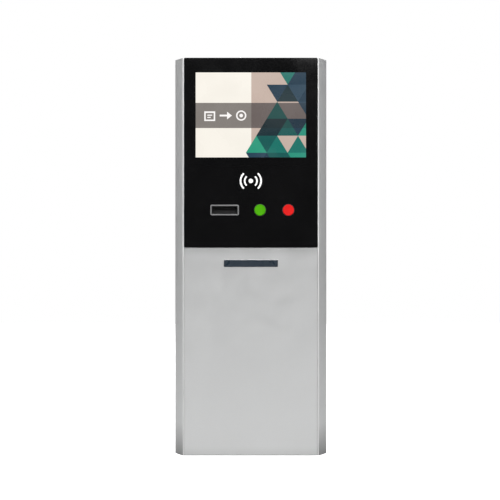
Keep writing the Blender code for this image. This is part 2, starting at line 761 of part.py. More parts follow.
def build_inlet():
    face, back = INLET_FLANGE_Y[1] + 2.4, INLET_BACK
    flange = rounded(INLET_X, INLET_Z, *INLET_FLANGE, 4.0)
    inlet = place("mains_inlet", plate("y", flange, *INLET_FLANGE_Y), "black_plastic")
    body = plate("y", rounded(INLET_X, INLET_Z, *INLET_BODY, 2.0), back, INLET_FLANGE_Y[0] + 0.7)
    combine(inlet, "UNION", body)
    socket = plate("y", rounded(SOCKET_X, INLET_Z, *SOCKET_SIZE, 3.0), back + 12.0, face)
    across, tall = ROCKER_HALF + 0.4, 11.2
    bay = rect(ROCKER_X - across, ROCKER_X + across, INLET_Z - tall, INLET_Z + tall)
    combine(inlet, "DIFFERENCE", merge(socket, plate("y", bay, back + 15.5, face)))

    profile = [(4.0, -10.2), (2.2, 0.0), (4.0, 10.2), (-1.0, 9.6), (-5.0, 4.5), (-5.0, -4.5), (-1.0, -9.6)]
    shape = plate("x", profile, -ROCKER_HALF, ROCKER_HALF)
    rocker = place("inlet_rocker", shape, "black_plastic", (ROCKER_X, ROCKER_Y, INLET_Z))
    rocker.data.transform(Matrix.Rotation(-ROCKER_TILT, 4, "X"))


def build_leads():
    mains = [(120.0, 134.6, 40.0), (120.0, 127.0, 40.0), (120.0, 116.0, 42.0), (124.0, 104.0, 54.0),
             (134.0, 101.0, 78.0), (144.0, 109.0, 108.0), (150.0, 122.0, 145.0), (150.0, 130.0, 190.0),
             (150.0, 131.0, 300.0), (150.0, 127.0, 328.0), (150.0, 115.0, 346.0), (150.0, 102.0, 351.0),
             (150.0, 89.4, 351.0)]
    place("mains_lead", tube(mains, LEAD_R), "rubber")
    video = [(-60.0, 90.4, 360.0), (-60.0, 98.0, 360.0), (-67.0, 112.0, 361.0), (-92.0, 120.0, 363.0),
             (-165.0, 120.0, 367.0), (-203.0, 108.0, 400.0), (-214.0, 60.0, 480.0), (-216.0, 0.0, 600.0),
             (-216.0, -60.0, 760.0), (-214.0, -100.0, 940.0), (-204.0, -112.0, 1020.0),
             (-180.0, -114.0, 1053.0), (-140.0, -119.0, 1060.0), (-110.0, -121.3, 1060.0),
             (-90.4, -121.3, 1060.0)]
    place("video_lead", tube(video, LEAD_R), "rubber")


def spoke(angle, inside, outside, half):
    """Outline of a straight arm of the fan frame, turned about the fan's middle."""
    c, s = math.cos(angle), math.sin(angle)
    corners = ((inside, -half), (outside, -half), (outside, half), (inside, half))
    return [(c * a - s * b, FAN_Z + s * a + c * b) for a, b in corners]


def build_fan():
    front, back = FAN_Y
    outline = rounded(0.0, FAN_Z, FAN_SIZE, FAN_SIZE, 5.0)
    frame = plate("y", outline, front, back, [circle(0.0, FAN_Z, FAN_BORE_R, 40)])
    fan = place("fan_frame", frame, "black_plastic")
    arms = []
    for k in range(4):
        outline = spoke(math.radians(45.0 + 90.0 * k), 10.0, FAN_BORE_R + 1.5, 2.5)
        arms.append(plate("y", outline, front + 0.2, front + 3.2))
    hub = lathe("y", ((FAN_HUB_R, front + 0.1), (FAN_HUB_R, front + 3.5)), (0.0, FAN_Z))
    combine(fan, "UNION", merge(*arms))
    combine(fan, "UNION", hub)

    r = FAN_HUB_R
    rotor_hub = lathe("y", ((r - 1.0, -9.5), (r, -8.7), (r, 8.2), (r - 1.2, 9.5)))
    rotor = place("fan_rotor", rotor_hub, "black_plastic", (0.0, ROTOR_Y, FAN_Z))
    stations = ((r - 1.5, 50.0, 5.76), (29.0, 60.0, 7.2), (FAN_BORE_R - 1.2, 68.0, 7.92))
    blades = []
    for k in range(ROTOR_BLADES):
        turn = Matrix.Rotation(2.0 * math.pi * k / ROTOR_BLADES, 3, "Y")
        loops = []
        for radius, pitch, reach in stations:
            c, s = math.cos(math.radians(pitch)), math.sin(math.radians(pitch))
            section = []
            for a, b in ((-reach, -0.7), (reach, -0.7), (reach, 0.7), (-reach, 0.7)):
                section.append(tuple(turn @ Vector((radius, c * a + s * b, s * a - c * b))))
            loops.append(section)
        blades.append(loft(loops))
    combine(rotor, "UNION", merge(*blades))


def build_door():
    x0, x1 = -DOOR_HALF - HINGE_X, -1.2
    face = REAR_Y - HINGE_Y
    shape = tray("y", x0, x1, *DOOR_Z, face, RETURN_Y - HINGE_Y, SHEET, 0.5)
    door = place("rear_door", shape, "silver_sheet", (HINGE_X, HINGE_Y, 0.0))
    through = (face - 7.4, face + 2.6)
    cuts = [plate("y", circle(LOCK_X - HINGE_X, LOCK_Z, LOCK_R + GAP, 24), *through)]
    across, up = VENT_PITCH
    for base in DOOR_VENT_Z:
        for row in range(4):
            for column in (-1, 0, 1):
                outline = rounded(across * column - HINGE_X, base + up * row, *VENT_SIZE, 2.4, 2)
                cuts.append(plate("y", outline, *through))
    combine(door, "DIFFERENCE", merge(*cuts))

    for name, z in HINGE_Z.items():
        build_hinge(name, z, door)
    build_lock(door)


def knuckle_outline(side):
    """Section of a hinge leaf with its barrel, seen from above; side is +1 for the body leaf."""
    r = BARREL_R
    points = [(side * LEAF_REACH, -r), (side * LEAF_REACH, LEAF_THICK - r)]
    start = -math.asin((r - LEAF_THICK) / r)
    sweep = math.radians(270.0) - start
    for step in range(15):
        angle = start + sweep * step / 14
        points.append((side * r * math.cos(angle), r * math.sin(angle)))
    return points


def build_hinge(name, z, door):
    bore = circle(0.0, 0.0, PIN_R + 0.1, 16)
    at = (HINGE_X, HINGE_Y, z)
    end = HINGE_HALF
    middle = 11.3
    strip = plate("z", knuckle_outline(1.0), -end, end, [bore])
    leaf = place(f"hinge_{name}_body_leaf", strip, "zinc_steel", at)
    combine(leaf, "DIFFERENCE", box(-4.0, 2.5, -4.0, 4.0, -middle, middle))
    strip = plate("z", knuckle_outline(-1.0), -end, end, [bore])
    leaf = place(f"hinge_{name}_door_leaf", strip, "zinc_steel", at)
    inside, outside = middle - 0.5, end + 1.0
    ends = (box(-2.5, 4.0, -4.0, 4.0, inside, outside), box(-2.5, 4.0, -4.0, 4.0, -outside, -inside))
    combine(leaf, "DIFFERENCE", merge(*ends))
    hang(leaf, door)
    tip = end + 0.4
    pin = lathe("z", ((1.0, -tip), (PIN_R, -end), (PIN_R, end), (1.0, tip)), sides=16)
    place(f"hinge_{name}_pin", pin, "polished_steel", at)


def build_lock(door):
    at = (LOCK_X, 0.0, LOCK_Z)
    bore = PLUG_R + 0.1
    face = REAR_Y + GAP
    barrel = ((bore, 150.6), (LOCK_R, 150.6), (LOCK_R, face), (12.5, face), (13.0, 161.0), (12.0, HINGE_Y),
              (bore, HINGE_Y))
    body = place("lock_body", lathe("y", barrel, ring=True), "polished_steel", at)
    ring = [circle(0.0, 0.0, LOCK_R + 0.1, 24)]
    nut = place("lock_nut", plate("y", hexagon(0.0, 0.0, 14.0), 153.0, 157.7, ring), "zinc_steel", at)
    stem = ((3.0, 145.6), (3.5, 146.1), (3.5, 149.9), (PLUG_R, 149.9), (PLUG_R, 164.4), (6.4, 165.0))
    plug = place("lock_plug", lathe("y", stem), "polished_steel", at)
    key_slot = box(-0.9, 0.9, 161.5, 170.0, -4.5, 4.5)
    combine(plug, "DIFFERENCE", key_slot)
    boss = 8.0
    arm = [(boss * math.cos(math.radians(a)), boss * math.sin(math.radians(a))) for a in range(180, 361, 20)]
    arm += [(boss, 12.0), (6.0, 27.0), (-6.0, 27.0), (-boss, 12.0)]
    cam = place("lock_cam", plate("y", arm, *CAM_Y, [circle(0.0, 0.0, 3.6, 24)]), "zinc_steel", at)
    for piece in (body, nut, plug, cam):
        hang(piece, door)


clear_scene()
build_shell()
build_front()
build_display()
build_mouth()
for button in BUTTON_X:
    build_button(button)
build_printer()
build_services()
build_door()
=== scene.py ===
import json
import math
import random

import bmesh
import bpy
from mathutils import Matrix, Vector
from mathutils.geometry import tessellate_polygon


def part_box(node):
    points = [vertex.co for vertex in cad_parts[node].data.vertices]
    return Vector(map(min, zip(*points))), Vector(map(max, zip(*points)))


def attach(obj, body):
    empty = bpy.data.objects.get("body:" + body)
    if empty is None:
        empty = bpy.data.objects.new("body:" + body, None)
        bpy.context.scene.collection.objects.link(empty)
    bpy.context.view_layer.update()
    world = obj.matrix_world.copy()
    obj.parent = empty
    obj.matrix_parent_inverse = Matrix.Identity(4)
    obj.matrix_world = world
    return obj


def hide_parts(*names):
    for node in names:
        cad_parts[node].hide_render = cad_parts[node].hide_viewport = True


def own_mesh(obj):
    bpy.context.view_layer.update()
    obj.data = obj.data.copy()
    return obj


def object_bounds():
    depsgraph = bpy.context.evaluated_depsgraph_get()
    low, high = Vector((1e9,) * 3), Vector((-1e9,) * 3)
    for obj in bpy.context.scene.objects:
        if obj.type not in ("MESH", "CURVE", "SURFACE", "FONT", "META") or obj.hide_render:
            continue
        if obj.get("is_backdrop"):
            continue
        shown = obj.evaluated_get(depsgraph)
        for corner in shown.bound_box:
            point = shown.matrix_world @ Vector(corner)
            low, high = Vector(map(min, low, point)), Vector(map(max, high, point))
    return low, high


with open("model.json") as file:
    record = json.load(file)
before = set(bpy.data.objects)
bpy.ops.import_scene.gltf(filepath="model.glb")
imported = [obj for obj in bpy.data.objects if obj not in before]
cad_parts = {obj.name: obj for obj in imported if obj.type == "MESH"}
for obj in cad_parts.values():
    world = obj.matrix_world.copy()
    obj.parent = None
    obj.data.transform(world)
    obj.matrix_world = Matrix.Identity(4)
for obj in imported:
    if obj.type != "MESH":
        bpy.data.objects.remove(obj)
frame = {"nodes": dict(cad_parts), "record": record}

cad_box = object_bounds()

# Shapes are in millimetres, and `make` turns them into metres. Lights, camera and textures are in metres.
MM = 0.001


def node_box(name):
    """Lowest and highest corner of a CAD node at rest."""
    low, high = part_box(name)
    return [c / MM for c in low], [c / MM for c in high]


def box_centre(low, high, other=2):
    """Centre of a box seen from the front, as (x, z), or with other=1 from above, as (x, y)."""
    return (low[0] + high[0]) / 2, (low[other] + high[other]) / 2


def corner_places(low, high, dx, dz):
    """Four places set in from the corners of a box seen from the front."""
    return [(x, z) for x in (low[0] + dx, high[0] - dx) for z in (low[2] + dz, high[2] - dz)]


glass_low, seam_high = node_box("control_glass")
seam_low, glass_high = node_box("display_glass")
panel_low, panel_high = node_box("lower_front_panel")
side_low, side_high = node_box("right_side_panel")
mouth_low, mouth_high = node_box("mouth_bezel")

SHEET = 2.0
FAN_Z = 1170.0
GLASS_FACE = glass_low[1]
MOUTH = box_centre(mouth_low, mouth_high)

# Visible part of the display
SCREEN_HALF = 171.8
SCREEN_LOW = 929.7
SCREEN_HIGH = 1194.2

random.seed(7)


# -------------------- shapes

def on(axis, p, depth):
    """Put a 2-D point into 3-D, with `depth` measured along the axis."""
    if axis == "x":
        return (depth, p[0], p[1])
    if axis == "y":
        return (p[0], depth, p[1])
    return (p[0], p[1], depth)


def loft(loops, ring=False, caps=True):
    """Skin a row of equal loops; a ring joins the last loop back to the first."""
    n = len(loops[0])
    count = len(loops)
    verts = [p for loop in loops for p in loop]
    faces = []
    for i in range(count if ring else count - 1):
        a = i * n
        b = ((i + 1) % count) * n
        for k in range(n):
            m = (k + 1) % n
            faces.append((a + k, a + m, b + m, b + k))
    if caps and not ring:
        faces.append(tuple(reversed(range(n))))
        faces.append(tuple(range((count - 1) * n, count * n)))
    return verts, faces


def triangles(loops):
    """Fill an outline that has holes."""
    return [tuple(t) for t in tessellate_polygon([[Vector((*p, 0.0)) for p in loop] for loop in loops])]


def plate(axis, outline, a, b, holes=()):
    """Extrude a 2-D outline with holes from a to b along an axis."""
    loops = [outline, *holes]
    points = [p for loop in loops for p in loop]
    n = len(points)
    caps = triangles(loops)
    verts = [on(axis, p, a) for p in points] + [on(axis, p, b) for p in points]
    faces = caps + [tuple(n + i for i in reversed(t)) for t in caps]
    start = 0
    for loop in loops:
        size = len(loop)
        for k in range(size):
            i = start + k
            j = start + (k + 1) % size
            faces.append((i, j, n + j, n + i))
        start += size
    return verts, faces


def facing(outline, holes, depth):
    """Flat face across Y with holes in it."""
    loops = [outline, *holes]
    return [on("y", p, depth) for loop in loops for p in loop], triangles(loops)


def merge(*shapes):
    """Put several shapes in one."""
    verts = []
    faces = []
    for shape_verts, shape_faces in shapes:
        start = len(verts)
        verts.extend(shape_verts)
        faces.extend(tuple(i + start for i in face) for face in shape_faces)
    return verts, faces


def rect(x0, x1, z0, z1):
    return [(x0, z0), (x1, z0), (x1, z1), (x0, z1)]


def rounded(cx, cz, w, h, r, steps=8):
    """Rectangle with round corners, from its lower right corner anticlockwise."""
    points = []
    for index, (sx, sz) in enumerate(((1, -1), (1, 1), (-1, 1), (-1, -1))):
        for step in range(steps + 1):
            angle = math.radians(-90.0 + 90.0 * index + 90.0 * step / steps)
            x = cx + sx * (w / 2 - r) + r * math.cos(angle)
            z = cz + sz * (h / 2 - r) + r * math.sin(angle)
            points.append((x, z))
    return points


def rounded_loops(axis, centre, size, rows, steps=8):
    """One rounded rectangle for each row of growth, corner radius and depth."""
    loops = []
    for grow, r, depth in rows:
        outline = rounded(*centre, size[0] + grow, size[1] + grow, r, steps)
        loops.append([on(axis, p, depth) for p in outline])
    return loops


def circle(cx, cz, r, sides=64):
    turn = 2.0 * math.pi / sides
    return [(cx + r * math.cos(turn * k), cz + r * math.sin(turn * k)) for k in range(sides)]


def lathe(axis, profile, centre, sides=64, ring=False):
    """Turn a profile of (radius, depth) points about an axis."""
    return loft([[on(axis, p, depth) for p in circle(*centre, r, sides)] for r, depth in profile], ring)


def offset(path, distance):
    """Shift an open path to its left with mitred corners."""
    shifted = []
    for i, p in enumerate(path):
        here = Vector(p)
        before = (here - Vector(path[i - 1])).normalized() if i > 0 else None
        after = (Vector(path[i + 1]) - here).normalized() if i + 1 < len(path) else None
        before = before or after
        after = after or before
        left_a = Vector((-before.y, before.x))
        left_b = Vector((-after.y, after.x))
        between = (left_a + left_b).normalized()
        shifted.append(tuple(here + between * (distance / between.dot(left_a))))
    return shifted


def mirrored(points):
    return [(-x, y) for x, y in reversed(points)]


def box(x0, x1, y0, y1, z0, z1):
    return plate("z", rect(x0, x1, y0, y1), z0, z1)


def whole_box(low, high):
    return box(low[0], high[0], low[1], high[1], low[2], high[2])


def tray(low, high, face, back, holes=(), edge=1.2):
    """Sheet panel across Y with a rolled edge, returns all round and cut-outs through its face."""
    inward = math.copysign(1.0, back - face)
    floor = face + inward * SHEET

    def row(inset, depth):
        return -2 * inset, max(2.0 - inset, 0.3), depth

    rows = [row(SHEET, floor), row(SHEET, back), row(0.0, back)]
    for step in range(7):
        angle = math.radians(15.0 * step)
        rows.append(row(edge * (1.0 - math.cos(angle)), face + inward * edge * (1.0 - math.sin(angle))))
    rows.append(row(edge + 0.5, face))
    size = (high[0] - low[0], high[2] - low[2])
    loops = rounded_loops("y", box_centre(low, high), size, rows, 6)
    inside, flat = ([(x, z) for x, _, z in loop] for loop in (loops[0], loops[-1]))
    shapes = [loft(loops, caps=False), facing(flat, holes, face), facing(inside, holes, floor)]
    for hole in holes:
        shapes.append(loft([[on("y", p, depth) for p in hole] for depth in (face, floor)], caps=False))
    return merge(*shapes)


def socket_loop(cx, cz, r, sides=24):
    """Hexagon drawn with as many points as the round loops it is lofted to."""
    points = []
    for k in range(sides):
        angle = 2.0 * math.pi * k / sides
        reach = r * math.cos(math.pi / 6) / math.cos(angle % (math.pi / 3) - math.pi / 6)
        points.append((cx + reach * math.cos(angle), cz + reach * math.sin(angle)))
    return points


def screw(axis, cx, cz, seat, r=3.6, high=1.6):
    """Domed screw head with a hexagon socket; a negative height faces it down the axis."""
    dome = ((0.94, 0.0), (1.0, 0.12), (0.97, 0.45), (0.84, 0.80), (0.66, 0.97), (0.56, 1.0))
    rings = [(circle(cx, cz, r * reach, 24), lift) for reach, lift in dome]
    rings += [(socket_loop(cx, cz, 0.46 * r), lift) for lift in (1.0, 0.3)]
    return loft([[on(axis, p, seat + high * lift) for p in ring] for ring, lift in rings])


def screws(name, axis, places, seat, r=3.6, high=1.6, body="kiosk"):
    heads = [screw(axis, a, b, seat, r, high) for a, b in places]
    make(name, merge(*heads), STEEL, body)


def clip(polygon, axis, value, keep_above):
    """Cut a 2-D polygon along x = value or z = value and keep one side."""
    side = 1.0 if keep_above else -1.0
    kept = []
    for i, p in enumerate(polygon):
        q = polygon[(i + 1) % len(polygon)]
        p_in = side * (p[axis] - value) >= 0.0
        q_in = side * (q[axis] - value) >= 0.0
        if p_in:
            kept.append(p)
        if p_in != q_in:
            t = (value - p[axis]) / (q[axis] - p[axis])
            kept.append((p[0] + t * (q[0] - p[0]), p[1] + t * (q[1] - p[1])))
    return kept


def new_mesh(name, shape):
    """Mesh in metres from a shape in millimetres."""
    verts, faces = shape
    mesh = bpy.data.meshes.new(name)
    mesh.from_pydata([tuple(c * MM for c in v) for v in verts], [], faces)
    return mesh


def add_object(name, data):
    thing = bpy.data.objects.new(name, data)
    bpy.context.scene.collection.objects.link(thing)
    return thing


def make(name, shape, looks, body="kiosk", stands_for=(), bevel=0.0, crease=35.0, weld=True):
    """Make one piece from a shape, give it its material and let it ride on a CAD body.
    """
    mesh = new_mesh(name, shape)
    bm = bmesh.new()
    bm.from_mesh(mesh)
    if weld:
        bmesh.ops.remove_doubles(bm, verts=bm.verts, dist=0.002 * MM)
    bmesh.ops.recalc_face_normals(bm, faces=bm.faces)
    for face in bm.faces:
        face.smooth = True
    for edge in bm.edges:
        if len(edge.link_faces) == 2 and edge.calc_face_angle() > math.radians(crease):
            edge.smooth = False
    bm.to_mesh(mesh)
    bm.free()
    for look in looks if isinstance(looks, (list, tuple)) else [looks]:
        mesh.materials.append(look)
    piece = add_object(name, mesh)
    if bevel:
        edge_round = piece.modifiers.new("edge_round", "BEVEL")
        edge_round.width = bevel * MM
        edge_round.segments = 3
        edge_round.limit_method = "ANGLE"
        edge_round.angle_limit = math.radians(crease)
        edge_round.harden_normals = True
    flat_faces = piece.modifiers.new("flat_faces", "WEIGHTED_NORMAL")
    flat_faces.keep_sharp = True
    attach(piece, body)
    if stands_for:
        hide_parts(*stands_for)
    return piece


# -------------------- materials

def connect(tree, value, socket):
    """Link an output to a socket, or set the socket's constant."""
    if isinstance(value, bpy.types.NodeSocket):
        tree.links.new(value, socket)
    else:
        socket.default_value = value


def add_node(tree, kind, **inputs):
    """New shader node whose named inputs are constants or other nodes' outputs."""
    node = tree.nodes.new("ShaderNode" + kind)
    for name, value in inputs.items():
        connect(tree, value, node.inputs[name.replace("_", " ")])
    return node


def map_range(tree, value, low, high, start, end, kind="LINEAR"):
    node = add_node(tree, "MapRange", Value=value, From_Min=start, From_Max=end, To_Min=low, To_Max=high)
    node.interpolation_type = kind
    return node.outputs["Result"]


def calculate(tree, operation, a, b=0.0):
    node = tree.nodes.new("ShaderNodeMath")
    node.operation = operation
    connect(tree, a, node.inputs[0])
    connect(tree, b, node.inputs[1])
    return node.outputs["Value"]


def parts_of(tree, vector):
    """X, Y and Z of a vector output."""
    return add_node(tree, "SeparateXYZ", Vector=vector).outputs


class Look:
    """A Principled material with short helpers for the nodes that feed it."""

    def __init__(self, name, colour, roughness, metallic=0.0, **sockets):
        self.material = bpy.data.materials.new(name)
        self.material.use_nodes = True
        self.tree = self.material.node_tree
        self.feed(Base_Color=(*colour, 1.0), Roughness=roughness, Metallic=metallic, **sockets)
        self.place = add_node(self.tree, "TexCoord").outputs["Object"]

    def feed(self, **sockets):
        """Give the shader's sockets constants or outputs."""
        shader = self.tree.nodes["Principled BSDF"]
        for name, value in sockets.items():
            connect(self.tree, value, shader.inputs[name.replace("_", " ")])

    def stretched(self, scale):
        """Object coordinates scaled differently along X, Y and Z."""
        return add_node(self.tree, "Mapping", Vector=self.place, Scale=scale).outputs["Vector"]

    def noise(self, scale, detail=3.0, vector=None):
        texture = add_node(self.tree, "TexNoise", Vector=vector or self.place, Scale=scale, Detail=detail)
        return texture.outputs["Fac"]

    def cells(self, scale, output="Color"):
        return add_node(self.tree, "TexVoronoi", Vector=self.place, Scale=scale).outputs[output]

    def span(self, value, low, high, start=0.3, end=0.7):
        """Map a value to a range; the defaults suit a noise texture."""
        return map_range(self.tree, value, low, high, start, end)

    def blend(self, factor, a, b):
        """Mix two colours (or a colour output and a colour) by a factor."""
        node = self.tree.nodes.new("ShaderNodeMix")
        node.data_type = "RGBA"
        self.tree.links.new(factor, node.inputs["Factor"])
        for name, value in (("A", a), ("B", b)):
            socket = next(s for s in node.inputs if s.name == name and s.type == "RGBA")
            if not isinstance(value, bpy.types.NodeSocket):
                value = (*value, 1.0)
            connect(self.tree, value, socket)
        return next(s for s in node.outputs if s.type == "RGBA")

    def tint(self, value, a, b, start=0.3, end=0.7):
        """Base colour that runs from a to b with a texture."""
        self.feed(Base_Color=self.blend(self.span(value, 0.0, 1.0, start, end), a, b))

    def polish(self, value, low, high):
        """Roughness that runs from low to high with a texture."""
        self.feed(Roughness=self.span(value, low, high))

    def bump(self, height, distance):
        node = add_node(self.tree, "Bump", Height=height, Distance=distance * MM, Strength=1.0)
        self.feed(Normal=node.outputs["Normal"])


SILVER_TONE = (0.56, 0.565, 0.565)


def shade(colour, factor):
    return tuple(min(1.0, c * factor) for c in colour)


def silver_coat(name, tone, floor_shade, reach, top_shade=0.0, shadow_height=None):
    """Silver powder coat: fine metallic flake, soft orange peel, and painted shade that darkens it towards
    the floor.

    Below a given height, the top of the lower panel under the glass, a painted shadow darkens the coat, and
    painted shade deepens a little from 0.12 m up to that height.
    """
    look = Look(name, tone, 0.36, 0.35)
    # dark tone that the coat is blended towards wherever shade is painted
    painted_shade_tone = shade(tone, 0.25)
    height = parts_of(look.tree, look.place)["Z"]
    clouded = look.blend(look.span(look.noise(2.2, 2.0), 0.0, 1.0), shade(tone, 0.97), shade(tone, 1.03))
    coat = look.blend(look.span(look.cells(1500.0), 0.0, 0.22, 0.0, 1.0), clouded, shade(tone, 1.35))
    if shadow_height:
        # painted shade: darker towards the top of the panel
        coat = look.blend(look.span(height, 0.0, top_shade, 0.12, shadow_height), coat, painted_shade_tone)
        # painted shadow just under the glass's lower edge
        coat = look.blend(look.span(height, 0.0, 0.30, shadow_height - 0.028, shadow_height), coat, painted_shade_tone)
    # painted shade: darker towards the floor
    look.feed(Base_Color=look.blend(look.span(height, floor_shade, 0.0, 0.0, reach), coat, painted_shade_tone))
    look.polish(look.noise(18.0, 4.0), 0.32, 0.41)
    look.bump(look.noise(900.0, 2.0), 0.02)
    return look.material


def painted_edge_highlight():
    """Front edge of a side panel, coloured lighter than the side as a painted highlight beside the glass,
    with painted shade dimming it below.
    """
    # painted highlight: the edge is coloured much lighter than the side's coat
    look = Look("painted_edge_highlight", (0.80, 0.80, 0.80), 0.30)
    streaks = look.noise(1.0, 4.0, look.stretched((60.0, 60.0, 9.0)))
    coat = look.blend(look.span(streaks, 0.0, 1.0), (0.76, 0.76, 0.76), (0.84, 0.84, 0.83))
    seam = glass_low[2] * MM
    # painted shade: below the glass's lower edge the edge darkens towards the silver's tone
    shade_below_seam = look.span(parts_of(look.tree, look.place)["Z"], 0.45, 0.0, seam - 0.05, seam + 0.02)
    look.feed(Base_Color=look.blend(shade_below_seam, coat, shade(SILVER_TONE, 0.8)))
    look.polish(streaks, 0.24, 0.36)
    look.bump(look.noise(900.0, 2.0), 0.01)
    return look.material


def zinc_sheet():
    look = Look("zinc_sheet", (0.50, 0.51, 0.52), 0.34, 0.85)
    look.tint(look.cells(85.0), (0.44, 0.45, 0.46), (0.57, 0.58, 0.59), 0.0, 1.0)
    look.polish(look.noise(40.0, 4.0), 0.28, 0.44)
    look.bump(look.noise(420.0, 3.0), 0.015)
    return look.material


def bright_steel():
    look = Look("bright_steel", (0.66, 0.66, 0.67), 0.2, 1.0)
    lines = look.noise(1.0, 2.0, look.stretched((1400.0, 1400.0, 40.0)))
    look.tint(lines, (0.60, 0.60, 0.61), (0.71, 0.71, 0.72))
    look.polish(lines, 0.16, 0.30)
    look.bump(lines, 0.01)
    return look.material


def black_glass():
    look = Look("black_glass", (0.0038, 0.0038, 0.0040), 0.08, Specular_IOR_Level=0.30)
    smears = look.noise(9.0, 5.0)
    look.tint(smears, (0.0034, 0.0034, 0.0037), (0.0044, 0.0044, 0.0047))
    look.polish(smears, 0.05, 0.12)
    return look.material


def moulded(name, colour, roughness=0.45, grain=650.0, depth=0.03):
    """Injection-moulded plastic with a fine spark-eroded grain."""
    look = Look(name, colour, roughness)
    look.tint(look.noise(25.0, 3.0), shade(colour, 0.92), shade(colour, 1.10))
    look.polish(look.noise(60.0, 4.0), roughness - 0.05, roughness + 0.07)
    look.bump(look.noise(grain, 3.0), depth)
    return look.material


def button_plastic(name, colour):
    look = Look(name, colour, 0.36, Specular_IOR_Level=0.12)
    look.tint(look.noise(70.0, 3.0), shade(colour, 0.93), shade(colour, 1.05))
    look.polish(look.noise(160.0, 4.0), 0.28, 0.38)
    look.bump(look.noise(900.0, 2.0), 0.012)
    return look.material


def rubber():
    look = Look("black_rubber", (0.022, 0.022, 0.023), 0.7)
    speckle = look.noise(380.0, 4.0)
    look.tint(speckle, (0.018, 0.018, 0.019), (0.032, 0.032, 0.033))
    look.polish(look.noise(45.0, 3.0), 0.62, 0.8)
    look.bump(speckle, 0.04)
    return look.material


def foam():
    look = Look("foam_tape", (0.02, 0.02, 0.02), 0.95)
    pores = look.cells(1100.0, "Distance")
    look.tint(pores, (0.012, 0.012, 0.012), (0.04, 0.04, 0.04), 0.0, 0.8)
    look.bump(pores, 0.2)
    return look.material


def paper():
    look = Look("receipt_paper", (0.86, 0.86, 0.84), 0.75)
    fibres = look.noise(1.0, 4.0, look.stretched((500.0, 900.0, 900.0)))
    look.tint(fibres, (0.82, 0.82, 0.80), (0.90, 0.90, 0.88))
    look.polish(fibres, 0.68, 0.82)
    look.bump(fibres, 0.02)
    return look.material


def circuit_board():
    look = Look("circuit_board", (0.02, 0.16, 0.07), 0.35)
    tracks = add_node(look.tree, "TexBrick", Vector=look.stretched((1.0, 1.0, 0.6)), Scale=160.0,
                      Color1=(0.016, 0.13, 0.06, 1.0), Color2=(0.022, 0.16, 0.075, 1.0),
                      Mortar=(0.05, 0.27, 0.12, 1.0), Mortar_Size=0.09)
    look.feed(Base_Color=tracks.outputs["Color"])
    look.polish(look.noise(90.0, 3.0), 0.28, 0.42)
    look.bump(tracks.outputs["Fac"], 0.05)
    return look.material


def glowing_white_print():
    # painted light: the white print glows a little, though it is no lamp
    look = Look("glowing_white_print", (0.80, 0.80, 0.80), 0.22, Emission_Color=(0.9, 0.9, 0.9, 1.0),
                Emission_Strength=0.35)
    screen = look.noise(700.0, 2.0)
    look.tint(screen, (0.78, 0.78, 0.78), (0.83, 0.83, 0.83))
    look.polish(screen, 0.18, 0.26)
    return look.material


def lit_pixel(name, colour):
    """One colour of the display's picture, glowing behind bonded glass."""
    look = Look(name, (0.0, 0.0, 0.0), 0.25, Specular_IOR_Level=0.3, Emission_Color=(*colour, 1.0),
                Emission_Strength=1.0)
    smears = look.noise(11.0, 4.0)
    look.tint(smears, shade(colour, 0.01), shade(colour, 0.03))
    look.polish(smears, 0.2, 0.35)
    return look.material


def srgb(r, g, b):
    """Linear colour from 0..255 screen values."""
    linear = []
    for value in (r, g, b):
        c = value / 255.0
        linear.append(c / 12.92 if c <= 0.04045 else ((c + 0.055) / 1.055) ** 2.4)
    return tuple(linear)


# painted shade darkens each coat towards the floor; the front coat also gets a painted shadow under the
# glass and painted shade towards its top
SILVER = silver_coat("silver_coat", SILVER_TONE, 0.25, 0.04)
FRONT_SILVER = silver_coat("silver_front_coat", SILVER_TONE, 0.15, 0.03, 0.23, panel_high[2] * MM)
# the sides' coat is a lighter copy of the same silver: painted light
SIDE_SILVER = silver_coat("silver_side_coat", shade(SILVER_TONE, 1.17), 0.80, 0.10)
EDGE_HIGHLIGHT = painted_edge_highlight()
ZINC = zinc_sheet()
STEEL = bright_steel()
GLASS = black_glass()
BLACK = moulded("black_moulding", (0.016, 0.016, 0.017), 0.46)
GREY = moulded("grey_moulding", (0.155, 0.155, 0.157), 0.40)
# near-black, darker than the black moulding: painted shade for the inside of the slot
SHADE_BLACK = moulded("throat_shade_black", (0.003, 0.003, 0.003), 0.75)
GREEN = button_plastic("green_moulding", srgb(72, 162, 0))
RED = button_plastic("red_moulding", srgb(211, 28, 26))
COPPER = moulded("copper_track", (0.62, 0.30, 0.14), 0.30, 900.0, 0.005)
NYLON = moulded("white_nylon", (0.62, 0.61, 0.57), 0.50)
RUBBER = rubber()
FOAM = foam()
PAPER = paper()
BOARD = circuit_board()
GLOWING_WHITE_INK = glowing_white_print()
BADGE = moulded("badge_enamel", (0.012, 0.022, 0.034), 0.30, 300.0, 0.004)


# -------------------- carried-over CAD nodes

SLOT_LOOKS = {
    "silver_sheet": SILVER, "zinc_steel": ZINC, "polished_steel": STEEL, "black_glass": GLASS,
    "black_plastic": BLACK, "grey_plastic": GREY, "green_plastic": GREEN, "red_plastic": RED,
    "badge": BADGE, "foam": FOAM, "rubber": RUBBER, "paper": PAPER, "circuit_board": BOARD,
    "display": BLACK,
}

for part in frame["record"]["subparts"]:
    cad_mesh = frame["nodes"][part["node"]].data
    cad_mesh.materials.clear()
    cad_mesh.materials.append(SLOT_LOOKS[part["material_slot"]])


# -------------------- cabinet skin

FACE_HALF = panel_high[0] + 0.3
BODY_HALF = side_high[0]
NOSE_Y = panel_low[1]
NOSE_R = 2.2
CHEEK_ANGLE = 32.0
REAR_Y = side_high[1]
FLANGE_Y = GLASS_FACE + 8.9
LIP_X = 206.0
CORNER_R = 10.0


